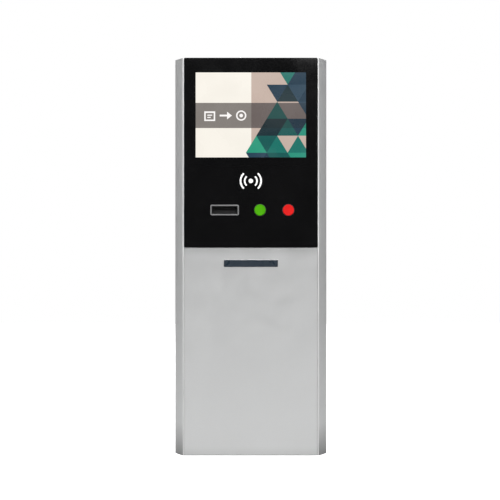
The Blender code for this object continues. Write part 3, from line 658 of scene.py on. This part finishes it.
def nose_arc(steps=12):
    """Rounded front edge of the right-hand side panel, from its return to where its cheek begins."""
    cx, cy = FACE_HALF + 0.3 + NOSE_R, NOSE_Y + NOSE_R
    sweep = 180.0 - CHEEK_ANGLE
    angles = [math.radians(180.0 + sweep * step / steps) for step in range(steps + 1)]
    return [(cx + NOSE_R * math.cos(a), cy + NOSE_R * math.sin(a)) for a in angles]


def side_path(steps=28):
    """Outer line of the right-hand side panel in plan, with a sharp front edge and a curved cheek."""
    edge_x = FACE_HALF + 0.3
    start = nose_arc()[-1]
    lean = math.radians(CHEEK_ANGLE)
    sharp_y = start[1] - (start[0] - edge_x) / math.tan(lean)
    path = [(196.0, FLANGE_Y), (edge_x, FLANGE_Y), (edge_x, sharp_y)]
    lead = 18.0
    leaving = (start[0] + lead * math.sin(lean), start[1] + lead * math.cos(lean))
    ends = [start, leaving, (237.2, -110.0), (BODY_HALF, -105.0)]
    for step in range(steps + 1):
        t = step / steps
        u = 1.0 - t
        weights = (u * u * u, 3 * u * u * t, 3 * u * t * t, t * t * t)
        path.append(tuple(sum(w * p[axis] for w, p in zip(weights, ends)) for axis in (0, 1)))
    for step in range(13):
        angle = math.radians(7.5 * step)
        x = BODY_HALF + CORNER_R * (math.cos(angle) - 1.0)
        path.append((x, REAR_Y + CORNER_R * (math.sin(angle) - 1.0)))
    path.append((LIP_X, REAR_Y))
    path.append((LIP_X, REAR_Y - CORNER_R))
    return path


def build_skin():
    outer = side_path()
    outline = outer[:2] + nose_arc() + outer[4:] + list(reversed(offset(outer, SHEET)))
    nose_end = (FACE_HALF + 1.4 * NOSE_R) * MM, (NOSE_Y + NOSE_R) * MM
    for name, points in (("right_side", outline), ("left_side", mirrored(outline))):
        skin = make(name + "_skin", plate("z", points, side_low[2], side_high[2]), [SIDE_SILVER, EDGE_HIGHLIGHT],
                    stands_for=[name + "_panel"])
        # faces of the rounded front edges take the painted highlight material
        for face in skin.data.polygons:
            on_nose = abs(face.center.x) < nose_end[0] and face.center.y < nose_end[1]
            if on_nose and abs(face.normal.z) < 0.5:
                face.material_index = 1

    make("lower_panel_skin", tray(panel_low, panel_high, NOSE_Y, panel_high[1], edge=1.6), FRONT_SILVER,
         stands_for=["lower_front_panel"])
    places = [(x, y) for x in (-165.0, 0.0, 165.0) for y in (-118.0, 128.0)]
    screws("top_screws", "z", places, node_box("top_cap")[1][2], 3.4, 1.3)


def build_badge():
    """Blank enamelled plate with a thin bright rim."""
    low, high = node_box("badge_plate")
    centre = box_centre(low, high)
    w, h = high[0] - low[0], high[2] - low[2]
    profile = ((0.0, 1.0), (0.0, 0.35), (0.12, 0.1), (0.35, 0.0), (0.7, 0.0), (0.9, 0.2), (1.0, 0.5),
               (1.0, 1.0))
    rows = [(-2 * inset, 2.5 - inset, low[1] + back) for inset, back in profile]
    make("badge_rim", loft(rounded_loops("y", centre, (w, h), rows), ring=True), STEEL,
         stands_for=["badge_plate"])
    enamel = rounded(*centre, w - 2.0, h - 2.0, 1.5)
    make("badge_enamel", plate("y", enamel, low[1] + 0.22, high[1]), BADGE)


# -------------------- front glass and its print

def build_glass():
    """Two panes that share one outline with round corners."""
    holes = [rounded(*MOUTH, 85.6, 29.6, 2.5)]
    for colour in ("green", "red"):
        holes.append(circle(*button_centre(colour), 19.4, 96))
    half = glass_high[0]
    middle_z = (glass_low[2] + glass_high[2]) / 2
    outline = rounded(0.0, middle_z, 2 * half, glass_high[2] - glass_low[2], 3.0)
    corner = len(outline) // 4
    upper = [(half, seam_low[2]), *outline[corner:-corner], (-half, seam_low[2])]
    lower = [*outline[:corner], (half, seam_high[2]), (-half, seam_high[2]), *outline[-corner:]]
    for name, pane, cut in (("display", upper, []), ("control", lower, holes)):
        make(name + "_pane", plate("y", pane, GLASS_FACE, glass_high[1], cut), GLASS,
             stands_for=[name + "_glass"], bevel=0.25)


def build_mouth():
    """Slot frame with a rounded bar, and behind it a throat lining, serrated tear bar and backing in
    near-black painted shade.
    """
    opening = (80.6, 24.6)
    front, back = mouth_low[1], mouth_high[1]
    rise = 1.3
    foot = front + rise
    bar = mouth_high[0] - mouth_low[0] - opening[0] - 2.0
    rows = [(0.0, 1.5, back), (0.0, 1.5, foot)]
    for step in range(7):
        angle = math.radians(30.0 * step)
        grow = bar / 2 - (bar / 2) * math.cos(angle)
        rows.append((grow, 1.5 + grow * 0.41, foot - rise * math.sin(angle) ** 0.6))
    rows += [(bar, 6.0, foot), (4.0, 2.4, foot), (4.0, 2.4, back)]
    make("slot_frame", loft(rounded_loops("y", MOUTH, opening, rows), ring=True), GREY,
         stands_for=["mouth_bezel"])

    # throat lining put inside the slot as painted shade
    rows = ((-0.3, 1.4, back - 1.0), (-0.3, 1.4, front + 2.0), (-1.0, 1.3, front + 2.2),
            (-2.6, 1.2, front + 7.0), (-6.0, 1.0, back - 1.0))
    make("slot_throat", loft(rounded_loops("y", MOUTH, opening, rows), ring=True), SHADE_BLACK)

    x, z = MOUTH
    half = 36.0
    teeth = [(x + half, z + 9.5), (x - half, z + 9.5)]
    teeth += [(x - half + 2.0 * k, z + (6.6 if k % 2 else 7.6)) for k in range(37)]
    make("tear_bar", plate("y", teeth, back - 4.0, back - 3.2), SHADE_BLACK)
    # dark backing sheet behind the slot: painted shade
    backing = plate("y", rounded(x, z, 76.0, 18.0, 1.0), back - 1.6, back - 0.8,
                    [rounded(x, z + 1.5, 2 * half, 2.6, 1.0)])
    make("slot_backing", backing, SHADE_BLACK)


def button_centre(colour):
    return box_centre(*node_box(colour + "_button_cap"))


def build_button(colour, look):
    """Cap with a rounded rim and a shallow dish, and a threaded housing with a rounded collar."""
    centre = button_centre(colour)
    low, high = node_box(colour + "_button_cap")
    front, back = low[1], high[1]
    r = (high[0] - low[0]) / 2
    skirt = front + 6.2
    rim, dish = 1.8, 0.45
    cap = [(6.0, back), (6.0, skirt), (r - 0.5, skirt), (r, skirt - 0.5)]
    for step in range(7):
        angle = math.radians(15.0 * step)
        cap.append((r - rim * (1.0 - math.cos(angle)), front + rim * (1.0 - math.sin(angle))))
    for step in range(1, 9):
        t = step / 8
        cap.append(((r - rim) * (1.0 - t) + t, front + dish * math.sin(math.radians(90.0 * t)) ** 1.5))
    make(colour + "_cap", lathe("y", cap, centre, 96), look, colour + "_button",
         stands_for=[colour + "_button_cap"])

    low, high = node_box(colour + "_button_housing")
    face, back = low[1], high[1]
    collar, barrel, well, bore = (high[0] - low[0]) / 2, 15.7, r + 0.3, 13.0
    seat, thread, well_floor = -153.7, -150.8, -155.6
    body = [(well, face + 0.4), (r + 0.45, face + 0.1), (r + 0.6, face), (collar - 0.3, face),
            (collar, face + 0.3), (collar, seat), (barrel, seat), (barrel, thread)]
    pitch = 1.5
    for k in range(int((back - thread) / pitch)):
        start = thread + pitch * k
        body += [(barrel, start + 0.2), (barrel - 0.7, start + 0.75), (barrel, start + 1.3)]
    body += [(barrel - 0.5, back), (6.5, back), (6.5, back - 3.0), (bore, back - 3.0), (bore, well_floor),
             (well, well_floor)]
    make(colour + "_housing", lathe("y", body, centre, 96, ring=True), BLACK,
         stands_for=[colour + "_button_housing"], crease=25.0)

    back = node_box(colour + "_button_switch")[1][1]
    tags = [box(x - 2.4, x + 2.4, back - 0.5, back + 7.5, centre[1] - 0.4, centre[1] + 0.4)
            for x in (centre[0] - 7.0, centre[0], centre[0] + 7.0)]
    make(colour + "_terminals", merge(*tags), COPPER)


def build_spring(colour):
    """Return spring round the cap's stem."""
    low, high = node_box(colour + "_button_spring")
    cx, cz = button_centre(colour)
    wire = 0.5
    radius = (high[0] - low[0]) / 2 - wire
    front, back = low[1] + wire, high[1] - wire
    turns, steps = 6, 32
    coil = []
    for k in range(turns * steps + 1):
        angle = math.radians(360.0 * k / steps)
        depth = front + (back - front) * k / (turns * steps)
        section = circle(radius, depth, wire, 10)
        coil.append([(cx + r * math.cos(angle), y, cz + r * math.sin(angle)) for r, y in section])
    spring = make(colour + "_spring", loft(coil), STEEL, stands_for=[colour + "_button_spring"],
                  crease=80.0)
    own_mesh(spring)


def arc_band(radius, thick, middle, sweep, steps=24):
    """Outline of a curved stroke with flat ends, about the origin."""
    outline = []
    for reach, way in ((radius + thick / 2, 1.0), (radius - thick / 2, -1.0)):
        for step in range(steps + 1):
            a = math.radians(middle + way * sweep * (step / steps - 0.5))
            outline.append((reach * math.cos(a), reach * math.sin(a)))
    return outline


def build_reader_mark():
    """Dot with two arcs on both sides, printed on the glass."""
    mark_z = 856.4
    strokes = [circle(0.0, 0.0, 6.8, 48)]
    for side in (0.0, 180.0):
        strokes.append(arc_band(19.2, 4.7, side, 94.0))
        strokes.append(arc_band(32.0, 5.1, side, 94.0))
    shapes = [plate("y", [(x, mark_z + z) for x, z in stroke], GLASS_FACE - 0.05, GLASS_FACE + 0.02)
              for stroke in strokes]
    # the mark is printed in ink that glows a little: painted light
    make("reader_mark", merge(*shapes), GLOWING_WHITE_INK)


PALETTE = [
    ("leaf", srgb(34, 142, 119)), ("pine", srgb(16, 111, 100)), ("sea", srgb(40, 150, 121)),
    ("deep", srgb(4, 84, 80)), ("navy", srgb(14, 50, 70)), ("night", srgb(0, 38, 46)),
    ("slate", srgb(36, 65, 84)),
]


def mosaic():
    """Rows of toned triangles on the right of a leaning edge, with a few left out."""
    row_high, cell_wide = 53.0, 65.0
    first_row = SCREEN_HIGH - 38.0
    gap_chance = 0.10
    for index in range(6):
        top = first_row + row_high * (1 - index)
        bottom = top - row_high
        edge_x = -8.0 + 0.42 * ((top + bottom) / 2 - SCREEN_LOW)
        for cell in range(-6, 8):
            x = cell * cell_wide / 2 + 17.0
            left, right = x - cell_wide / 2, x + cell_wide / 2
            if (cell + index) % 2 == 0:
                triangle = [(left, bottom), (right, bottom), (x, top)]
            else:
                triangle = [(left, top), (x, bottom), (right, top)]
            chance = random.random()
            tone = PALETTE[random.randrange(len(PALETTE))]
            if x >= edge_x and chance >= gap_chance:
                yield tone, triangle


def build_picture():
    """The display's picture: two plain fields, a band with pictograms, and the mosaic."""
    colours = {
        "cream": srgb(244, 239, 229), "tan": srgb(194, 174, 162), "band_on_cream": srgb(128, 122, 117),
        "band_on_tan": srgb(102, 92, 89), "pictogram": srgb(250, 247, 245),
    }
    split_x = 1.5
    band_low, band_high = 1021.0, 1099.5
    strips = ((SCREEN_LOW, band_low, 1.0), (band_low, band_high, 0.82), (band_high, SCREEN_HIGH, 1.0))
    layers = []

    def add(name, outline, front, back):
        layers.append((name, plate("y", outline, GLASS_FACE - front, GLASS_FACE + back)))

    for low, high, dim in strips:
        prefix = "" if dim == 1.0 else "band_on_"
        add(prefix + "cream", rect(-SCREEN_HALF, split_x, low, high), 0.04, 0.02)
        add(prefix + "tan", rect(split_x, SCREEN_HALF, low, high), 0.04, 0.02)
    for (tone, colour), triangle in mosaic():
        for low, high, dim in strips:
            piece = triangle
            for axis, value, keep_above in ((1, low, True), (1, high, False), (0, SCREEN_HALF, False)):
                piece = clip(piece, axis, value, keep_above)
            if len(piece) < 3:
                continue
            name = tone if dim == 1.0 else tone + "_dim"
            colours[name] = shade(colour, dim * dim)
            add(name, piece, 0.07, -0.03)
    for outline in pictograms():
        add("pictogram", outline, 0.09, -0.03)

    names = sorted(colours)
    looks = [lit_pixel("picture_" + name, colours[name]) for name in names]
    indices = [names.index(name) for name, (_, faces) in layers for _ in faces]
    picture = make("display_picture", merge(*[shape for _, shape in layers]), looks,
                   weld=False)
    for polygon, index in zip(picture.data.polygons, indices):
        polygon.material_index = index


def pictograms():
    """Three plain signs on the band: a ticket, a pointing arrow and a touch ring."""
    middle = 1060.0
    ticket, arrow, ring = -128.0, -78.0, -30.0
    bars = ((-17.0, 17.0, 8.0, 13.0), (-17.0, -12.5, -13.0, 8.0), (12.5, 17.0, -13.0, 8.0),
            (-17.0, 17.0, -17.0, -12.5), (-7.5, 7.5, -0.5, 2.8), (-7.5, 3.0, -7.5, -4.2))
    signs = [rect(ticket + x0, ticket + x1, middle + z0, middle + z1) for x0, x1, z0, z1 in bars]
    shaft, head, tip = 2.8, 12.0, 19.0
    lower = [(-tip, -shaft), (4.0, -shaft), (4.0, -head), (tip, 0.0)]
    upper = [(x, -z) for x, z in reversed(lower[:-1])]
    signs.append([(arrow + x, middle + z) for x, z in lower + upper])
    outer = circle(ring, middle, 16.0, 48)
    inner = list(reversed(circle(ring, middle, 11.6, 48)))
    half = len(outer) // 2
    signs.append(outer[:half + 1] + inner[half - 1:])
    signs.append(outer[half:] + [outer[0]] + [inner[-1]] + inner[:half])
    signs.append(circle(ring, middle, 5.6, 32))
    return signs


# -------------------- back of the cabinet

def louvre(x, z):
    """Slanted blade behind one vent slot."""
    face = REAR_Y - SHEET
    section = [(face, z + 4.4), (face - 5.0, z - 2.6), (face - 4.2, z - 3.2), (face, z + 3.0)]
    return plate("x", section, x - 40.0, x + 40.0)


def build_door():
    low, high = node_box("rear_door")
    vents = [(100.0 * column, base + 11.0 * row) for base in (118.0, 1034.0) for row in range(4)
             for column in (-1, 0, 1)]
    holes = [rounded(x, z, 76.0, 5.0, 2.4, 6) for x, z in vents]
    holes.append(circle(*box_centre(*node_box("lock_body")), 9.8, 48))
    make("door_skin", tray(low, high, REAR_Y, low[1], holes), SILVER, "rear_door", stands_for=["rear_door"])
    make("door_louvres", merge(*[louvre(x, z) for x, z in vents]), SILVER, "rear_door", bevel=0.2)

    seal, hole = (rounded(*box_centre(low, high), high[0] - low[0] - less, high[2] - low[2] - less, 3.0)
                  for less in (6.0, 22.0))
    make("door_seal", plate("y", seal, REAR_Y - SHEET - 3.0, REAR_Y - SHEET, [hole]), FOAM, "rear_door",
         bevel=0.6)

    for name in ("lower", "upper"):
        leaf_low, leaf_high = node_box(f"hinge_{name}_body_leaf")
        middle = (leaf_low[2] + leaf_high[2]) / 2
        for leaf, side, body in (("", 14.0, "kiosk"), ("_door", -14.0, "rear_door")):
            places = [(LIP_X + side, middle + z) for z in (-19.0, 0.0, 19.0)]
            screws(f"hinge_{name}{leaf}_screws", "y", places, leaf_low[1] + 1.2, 2.9, 1.3, body)


def build_rear_panels():
    top = node_box("rear_top_panel")
    guard_r, slot_pitch = 41.0, 7.5
    slots = []
    for k in range(-5, 6):
        half = math.sqrt(guard_r ** 2 - (slot_pitch * k) ** 2)
        slots.append(rounded(0.0, FAN_Z + slot_pitch * k, 2 * half, 4.0, 1.9, 6))
    make("top_panel_skin", tray(*top, REAR_Y, top[0][1], slots), SILVER, stands_for=["rear_top_panel"])

    bottom = node_box("rear_bottom_panel")
    inlet_low, inlet_high = node_box("mains_inlet")
    cx, cz = box_centre(inlet_low, inlet_high)
    cut = rounded(cx, cz, 48.0, 28.0, 1.0)
    make("bottom_panel_skin", tray(*bottom, REAR_Y, bottom[0][1], [cut]), SILVER,
         stands_for=["rear_bottom_panel"])

    fan_bolt = 41.2
    places = corner_places(*top, 12.0, 14.0)
    places += [(x, FAN_Z + z) for x in (-fan_bolt, fan_bolt) for z in (-fan_bolt, fan_bolt)]
    places += corner_places(*bottom, 12.0, 14.0)
    side_x = LIP_X + 20.0
    places += [(x, z) for x in (-side_x, side_x) for z in (30.0, 330.0, 600.0, 860.0, 1150.0)]
    screws("rear_screws", "y", places, REAR_Y, 3.4, 1.5)

    screws("inlet_screws", "y", [(cx - 26.6, cz), (cx + 26.6, cz)], inlet_high[1], 2.4, 1.2)
    socket_x = 109.0
    root, tip = inlet_low[1] + 11.5, inlet_high[1] - 2.5
    pins = [plate("y", rounded(socket_x + dx, cz + dz, 2.0, 4.2, 0.5), root, tip)
            for dx, dz in ((0.0, 2.6), (-6.0, -2.2), (6.0, -2.2))]
    make("inlet_pins", merge(*pins), STEEL)


# -------------------- inside of the cabinet

def hole_grid(x0, x1, y0, y1, pitch, r):
    """Staggered round holes that fill a rectangle."""
    holes = []
    for row in range(int((y1 - y0) / pitch) + 1):
        shift = pitch / 2 if row % 2 else 0.0
        for column in range(int((x1 - x0 - shift) / pitch) + 1):
            holes.append(circle(x0 + shift + pitch * column, y0 + pitch * row, r, 12))
    return holes


def port(x, z, w, h, face, deep=3.0):
    """Metal-framed connector opening on a face that looks towards the back."""
    opening = rounded(x, z, w - 1.4, h - 1.4, 0.3, 4)
    shell = plate("y", rounded(x, z, w, h, 0.6, 4), face - deep, face + 0.6, [opening])
    tongue = box(x - w / 2 + 1.6, x + w / 2 - 1.6, face - deep, face + 0.1, z - 0.6, z + 0.6)
    return merge(shell, tongue)


def build_computer():
    low, high = node_box("pc_case")
    centre = box_centre(low, high, 1)
    w, d = high[0] - low[0], high[1] - low[1]
    back, foot, rim = high[1], low[2], high[2] - 2.0
    profile = ((1.0, foot), (0.3, foot + 0.3), (0.0, foot + 1.0), (0.0, rim - 1.0), (0.3, rim - 0.3),
               (1.0, rim))
    rows = [(-2 * inset, 3.0, z) for inset, z in profile]
    make("computer_case", loft(rounded_loops("z", centre, (w, d), rows)), BLACK, stands_for=["pc_case"])
    holes = hole_grid(low[0] + 28.0, high[0] - 28.0, low[1] + 30.0, high[1] - 30.0, 8.0, 2.6)
    lid = plate("z", rounded(*centre, w - 1.6, d - 1.6, 2.6), rim, high[2], holes)
    make("computer_lid", lid, BLACK, bevel=0.3)

    mid_z = foot + 27.7
    sockets = [(x, z, 14.5, 7.0) for z in (-8.0, 3.0) for x in (-15.0, 5.0)]
    sockets += [(-60.0, 0.0, 17.0, 7.0), (30.0, -2.0, 16.0, 13.5), (-88.0, 0.0, 17.0, 7.0)]
    ports = [port(x, mid_z + z, wide, tall, back) for x, z, wide, tall in sockets]
    make("computer_ports", merge(*ports), STEEL)
    jack = ((6.5, back - 0.5), (6.5, back + 3.0), (5.8, back + 3.6), (3.6, back + 3.6), (3.6, back + 0.4))
    make("computer_jack", merge(*[lathe("y", jack, (x, mid_z), 32) for x in (52.0, -112.0)]), BLACK)
    screws("computer_screws", "y", corner_places(low, (high[0], back, rim), 8.0, 9.0), back, 2.4, 1.1)


def build_supply():
    low, high = node_box("power_supply")
    w, d = high[0] - low[0], high[1] - low[1]
    rim = high[2] - 1.6
    make("supply_base", whole_box(low, (high[0], high[1], rim)), ZINC, stands_for=["power_supply"],
         bevel=0.8)
    holes = hole_grid(low[0] + 12.0, high[0] - 12.0, low[1] + 14.0, high[1] - 34.0, 8.0, 2.5)
    lid = plate("z", rounded(*box_centre(low, high, 1), w - 0.6, d - 0.6, 1.0), rim, high[2], holes)
    make("supply_lid", lid, ZINC, bevel=0.25)
    strip_top = high[2] + 9.0
    strip = box(low[0] + 8.0, high[0] - 8.0, high[1] - 22.0, high[1] - 6.0, high[2], strip_top)
    make("terminal_strip", strip, BLACK, bevel=0.5)
    places = [(low[0] + 14.0 + 9.2 * k, high[1] - 14.0) for k in range(8)]
    screws("terminal_screws", "z", places, strip_top, 3.2, 1.2)


def build_display_back():
    back = node_box("lcd_chassis")[1][1]
    profile = ((0.0, -0.4), (0.0, 0.0), (1.2, 0.9), (2.0, 1.3))
    rows = [(-2 * inset, 8.0 - inset, back + lift) for inset, lift in profile]
    panels = []
    for z0, z1 in ((936.0, 996.0), (1126.0, 1188.0)):
        for x0, x1 in ((-150.0, -12.0), (12.0, 150.0)):
            centre = ((x0 + x1) / 2, (z0 + z1) / 2)
            panels.append(loft(rounded_loops("y", centre, (x1 - x0, z1 - z0), rows)))
    make("display_pressings", merge(*panels), ZINC)
    places = [(x, z) for x in (-170.0, 170.0) for z in (930.0, 1194.0)]
    screws("display_screws", "y", places, back, 2.8, 1.2)
    places = [(x, z) for x in (-168.0, 168.0) for z in (985.0, 1062.0, 1139.0)]
    screws("bracket_screws", "y", places, node_box("display_bracket_right")[1][1], 3.4, 1.6)

    low, high = node_box("display_driver")
    make("driver_cover", whole_box(low, high), GREY, stands_for=["display_driver"], bevel=2.0)
    ribs = []
    for k in range(18):
        x = low[0] + 14.0 + 7.0 * k
        ribs.append(box(x, x + 3.5, high[1] - 0.4, high[1] + 1.0, low[2] + 18.0, high[2] - 18.0))
    make("driver_ribs", merge(*ribs), GREY, bevel=0.4)
    screws("driver_screws", "y", corner_places(low, high, 8.0, 8.0), high[1], 2.6, 1.2)


def build_reader():
    low, high = node_box("reader_box")
    make("reader_case", whole_box(low, high), BLACK, stands_for=["reader_box"], bevel=2.0)
    screws("reader_screws", "y", corner_places(low, high, 7.0, 7.0), high[1], 2.6, 1.2)
    socket = box(-11.0, 11.0, high[1] - 0.5, high[1] + 6.0, low[2] + 12.0, low[2] + 20.0)
    make("reader_socket", socket, NYLON, bevel=0.5)
    middle_z = (low[2] + high[2]) / 2
    board_back, trace = -153.18, 2.0
    tracks = []
    for turn in range(4):
        w, h = 90.0 - 5.0 * turn, 62.0 - 5.0 * turn
        outline = rounded(0.0, middle_z, w, h, 6.0)
        inside = rounded(0.0, middle_z, w - trace, h - trace, 5.0)
        tracks.append(plate("y", outline, board_back - 0.08, board_back, [inside]))
    make("antenna_tracks", merge(*tracks), COPPER)


def build_frame_details():
    """Uprights with a row of square holes, bolts for shelf and base, and the cable entry's grommet."""
    front_y, leg_y, hole_y, half = -151.0, -125.0, -136.5, 4.0
    leg_x, flange_x = 184.0, 195.4
    holes = [rect(hole_y - half, hole_y + half, z - half, z + half) for z in range(60, 1200, 30)]
    for side, name in ((1.0, "right"), (-1.0, "left")):
        low, high = node_box(name + "_upright")
        outer = side * (leg_x + SHEET)
        leg = plate("x", rect(front_y, leg_y, low[2], high[2]), side * leg_x, outer, holes)
        flange = box(*sorted((outer, side * flange_x)), front_y, front_y + SHEET, low[2], high[2])
        make(name + "_post", merge(leg, flange), ZINC, stands_for=[name + "_upright"])

    low, high = node_box("pc_shelf")
    places = [(y, low[2] + 9.0) for y in (-80.0, 10.0, 100.0)]
    screws("shelf_bolts_right", "x", places, high[0] - SHEET, 4.0, -2.0)
    screws("shelf_bolts_left", "x", places, low[0] + SHEET, 4.0, 2.0)
    places = [(x, y) for x in (-195.0, 195.0) for y in (-110.0, 120.0)]
    screws("base_bolts", "z", places, node_box("base_plate")[1][2], 7.0, 5.0)

    profile = ((0.0, 5.2), (2.6, 5.2), (2.6, 6.6), (1.4, 7.4), (-1.2, 7.4), (-2.4, 6.6), (-2.4, 0.4),
               (-0.2, 0.4))
    rows = [(2 * grow, 6.0, z) for grow, z in profile]
    grommet = rounded_loops("z", (0.0, 90.0), (120.0, 60.0), rows)
    make("entry_grommet", loft(grommet, ring=True), RUBBER)


def build_lead_clips():
    """Nylon clips that hold the two leads to the cabinet, and the plugs on their ends."""
    wall = SHEET - BODY_HALF
    clips = []
    for x, y, z in ((-216.0, 0.0, 600.0), (-216.0, -60.0, 760.0), (-214.0, -100.0, 940.0)):
        ring = ((2.9, z - 3.0), (4.4, z - 3.0), (4.4, z + 3.0), (2.9, z + 3.0))
        clips.append(lathe("z", ring, (x, y), 32, ring=True))
        clips.append(box(wall, x - 3.6, y - 4.0, y + 4.0, z - 3.0, z + 3.0))
    make("lead_clips", merge(*clips), NYLON)
    plugs = [box(-71.0, -49.0, 90.5, 101.0, 355.0, 365.0),
             box(-101.0, -90.2, -126.3, -116.3, 1049.0, 1071.0),
             box(141.0, 159.0, 89.2, 99.0, 344.0, 358.0),
             box(111.0, 129.0, 127.5, 134.9, 33.0, 47.0)]
    make("lead_plugs", merge(*plugs), BLACK, bevel=1.2)


def build_printer():
    """Feed button and finger grip on the lid, and the base's screws and socket."""
    low, high = node_box("printer_base")
    cover_low, cover_high = node_box("printer_cover")
    top = cover_high[2]
    knob = [(r, top - 0.1 + h) for r, h in ((4.4, 0.0), (4.4, 1.4), (3.8, 1.9), (0.6, 1.9))]
    make("printer_feed_button", lathe("z", knob, (cover_low[0] + 14.0, cover_low[1] + 16.0), 32), GREY,
         "printer_cover")
    grip = []
    for k in range(6):
        y = cover_low[1] + 10.0 + 4.0 * k
        grip.append(box(MOUTH[0] - 16.0, MOUTH[0] + 16.0, y, y + 1.6, top - 0.3, top + 0.8))
    make("printer_lid_grip", merge(*grip), BLACK, "printer_cover", bevel=0.4)
    places = [(x, y) for x in (low[0] + 8.0, high[0] - 8.0) for y in (-120.0, -14.0)]
    screws("printer_screws", "z", places, high[2] - 71.3, 3.0, 1.2)
    socket = box(low[0] + 10.0, low[0] + 34.0, high[1] - 0.5, high[1] + 6.0, low[2] + 10.0, low[2] + 20.0)
    make("printer_socket", socket, NYLON, bevel=0.5)


# -------------------- floor, light and camera

def build_stage():
    """Pale floor that shows as white to the camera, except for the part under the cabinet."""
    floor = new_mesh("floor", plate("z", rounded(0.0, 0.0, 14000.0, 14000.0, 2000.0), -40.0, 0.0))
    look = Look("pale_floor", (0.9, 0.9, 0.9), 0.7, Emission_Color=(1.0, 1.0, 1.0, 1.0))
    look.tint(look.noise(3.0, 3.0), (0.66, 0.66, 0.66), (0.70, 0.70, 0.70))
    place = parts_of(look.tree, look.place)
    beside = []
    for axis, half in (("X", FACE_HALF), ("Y", -NOSE_Y)):
        reach = calculate(look.tree, "ABSOLUTE", place[axis])
        beside.append(calculate(look.tree, "GREATER_THAN", reach, (half - 6.0) * MM))
    outside = calculate(look.tree, "MAXIMUM", *beside)
    seen = add_node(look.tree, "LightPath").outputs["Is Camera Ray"]
    look.feed(Emission_Strength=calculate(look.tree, "MULTIPLY", outside, seen))
    floor.materials.append(look.material)
    add_object("floor", floor)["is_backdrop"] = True


def build_world():
    """White backdrop for the camera, and a shaded sky that lights the object."""
    world = bpy.data.worlds.new("studio")
    world.use_nodes = True
    tree = world.node_tree
    tree.nodes.clear()
    way = parts_of(tree, add_node(tree, "TexCoord").outputs["Generated"])
    side = calculate(tree, "MULTIPLY", way["X"], way["X"])
    level = None
    for value, low, high, start, end in (
            (way["Y"], 0.08, 0.80, -1.0, -0.80),  # dark zone straight ahead
            (way["Y"], 1.0, 0.18, -0.05, 0.75),  # dimmer behind
            (way["Z"], 0.42, 1.05, 0.0, 0.85),  # brighter above the horizon
            (way["Z"], 1.0, 0.35, 0.60, 1.0),  # dimmer overhead
            (side, 1.0, 0.34, 0.25, 1.0)):  # dimmer at both sides
        ramp = map_range(tree, value, low, high, start, end, "SMOOTHSTEP")
        level = calculate(tree, "MULTIPLY", level, ramp) if level else ramp

    white = (1.0, 1.0, 1.0, 1.0)
    fill = add_node(tree, "Background", Color=white, Strength=level)
    backdrop = add_node(tree, "Background", Color=white)
    mix = add_node(tree, "MixShader", Fac=add_node(tree, "LightPath").outputs["Is Camera Ray"])
    connect(tree, fill.outputs["Background"], mix.inputs[1])
    connect(tree, backdrop.outputs["Background"], mix.inputs[2])
    add_node(tree, "OutputWorld", Surface=mix.outputs["Shader"])
    bpy.context.scene.world = world


def softbox(name, at, aim_z, size, watts):
    """Rectangular light that points at the cabinet's middle, at a given height."""
    lamp = bpy.data.lights.new(name, "AREA")
    lamp.shape = "RECTANGLE"
    lamp.size, lamp.size_y = size
    lamp.energy = watts
    light = add_object(name, lamp)
    light.location = at
    direction = Vector((0.0, 0.0, aim_z)) - Vector(at)
    light.rotation_euler = direction.to_track_quat("-Z", "Y").to_euler()


def build_lights():
    softbox("key", (-1.2, -3.8, 2.8), 0.5, (3.0, 1.6), 91.0)
    softbox("fill", (1.2, -3.8, 2.6), 0.4, (2.0, 1.6), 74.0)
    softbox("rear", (-1.6, 3.4, 3.2), 0.5, (2.5, 1.6), 54.0)
    softbox("back", (0.0, 5.5, 2.7), 0.6, (0.4, 1.6), 80.0)


def build_camera():
    """Level camera straight in front of the kiosk, at about half its height."""
    view_wide = 1.557
    distance = 4.0
    lens = bpy.data.cameras.new("camera")
    lens.sensor_width = 36.0
    lens.lens = lens.sensor_width * distance / view_wide
    lens.clip_end = 60.0
    camera = add_object("camera", lens)
    camera.location = (-0.0026, GLASS_FACE * MM - distance, 0.6413)
    camera.rotation_euler = (math.radians(90.0), 0.0, 0.0)
    bpy.context.scene.camera = camera
    bpy.context.scene.view_settings.view_transform = "Standard"


build_skin()
build_badge()
build_glass()
build_mouth()
for button, button_look in (("green", GREEN), ("red", RED)):
    build_button(button, button_look)
    build_spring(button)
build_reader_mark()
build_picture()
build_door()
build_rear_panels()
build_computer()
build_supply()
build_display_back()
build_reader()
build_frame_details()
build_lead_clips()
build_printer()
build_stage()
build_world()
build_lights()
build_camera()

boxes = {"cad": cad_box, "visual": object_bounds()}
{name: [list(corner) for corner in corners] for name, corners in boxes.items()}
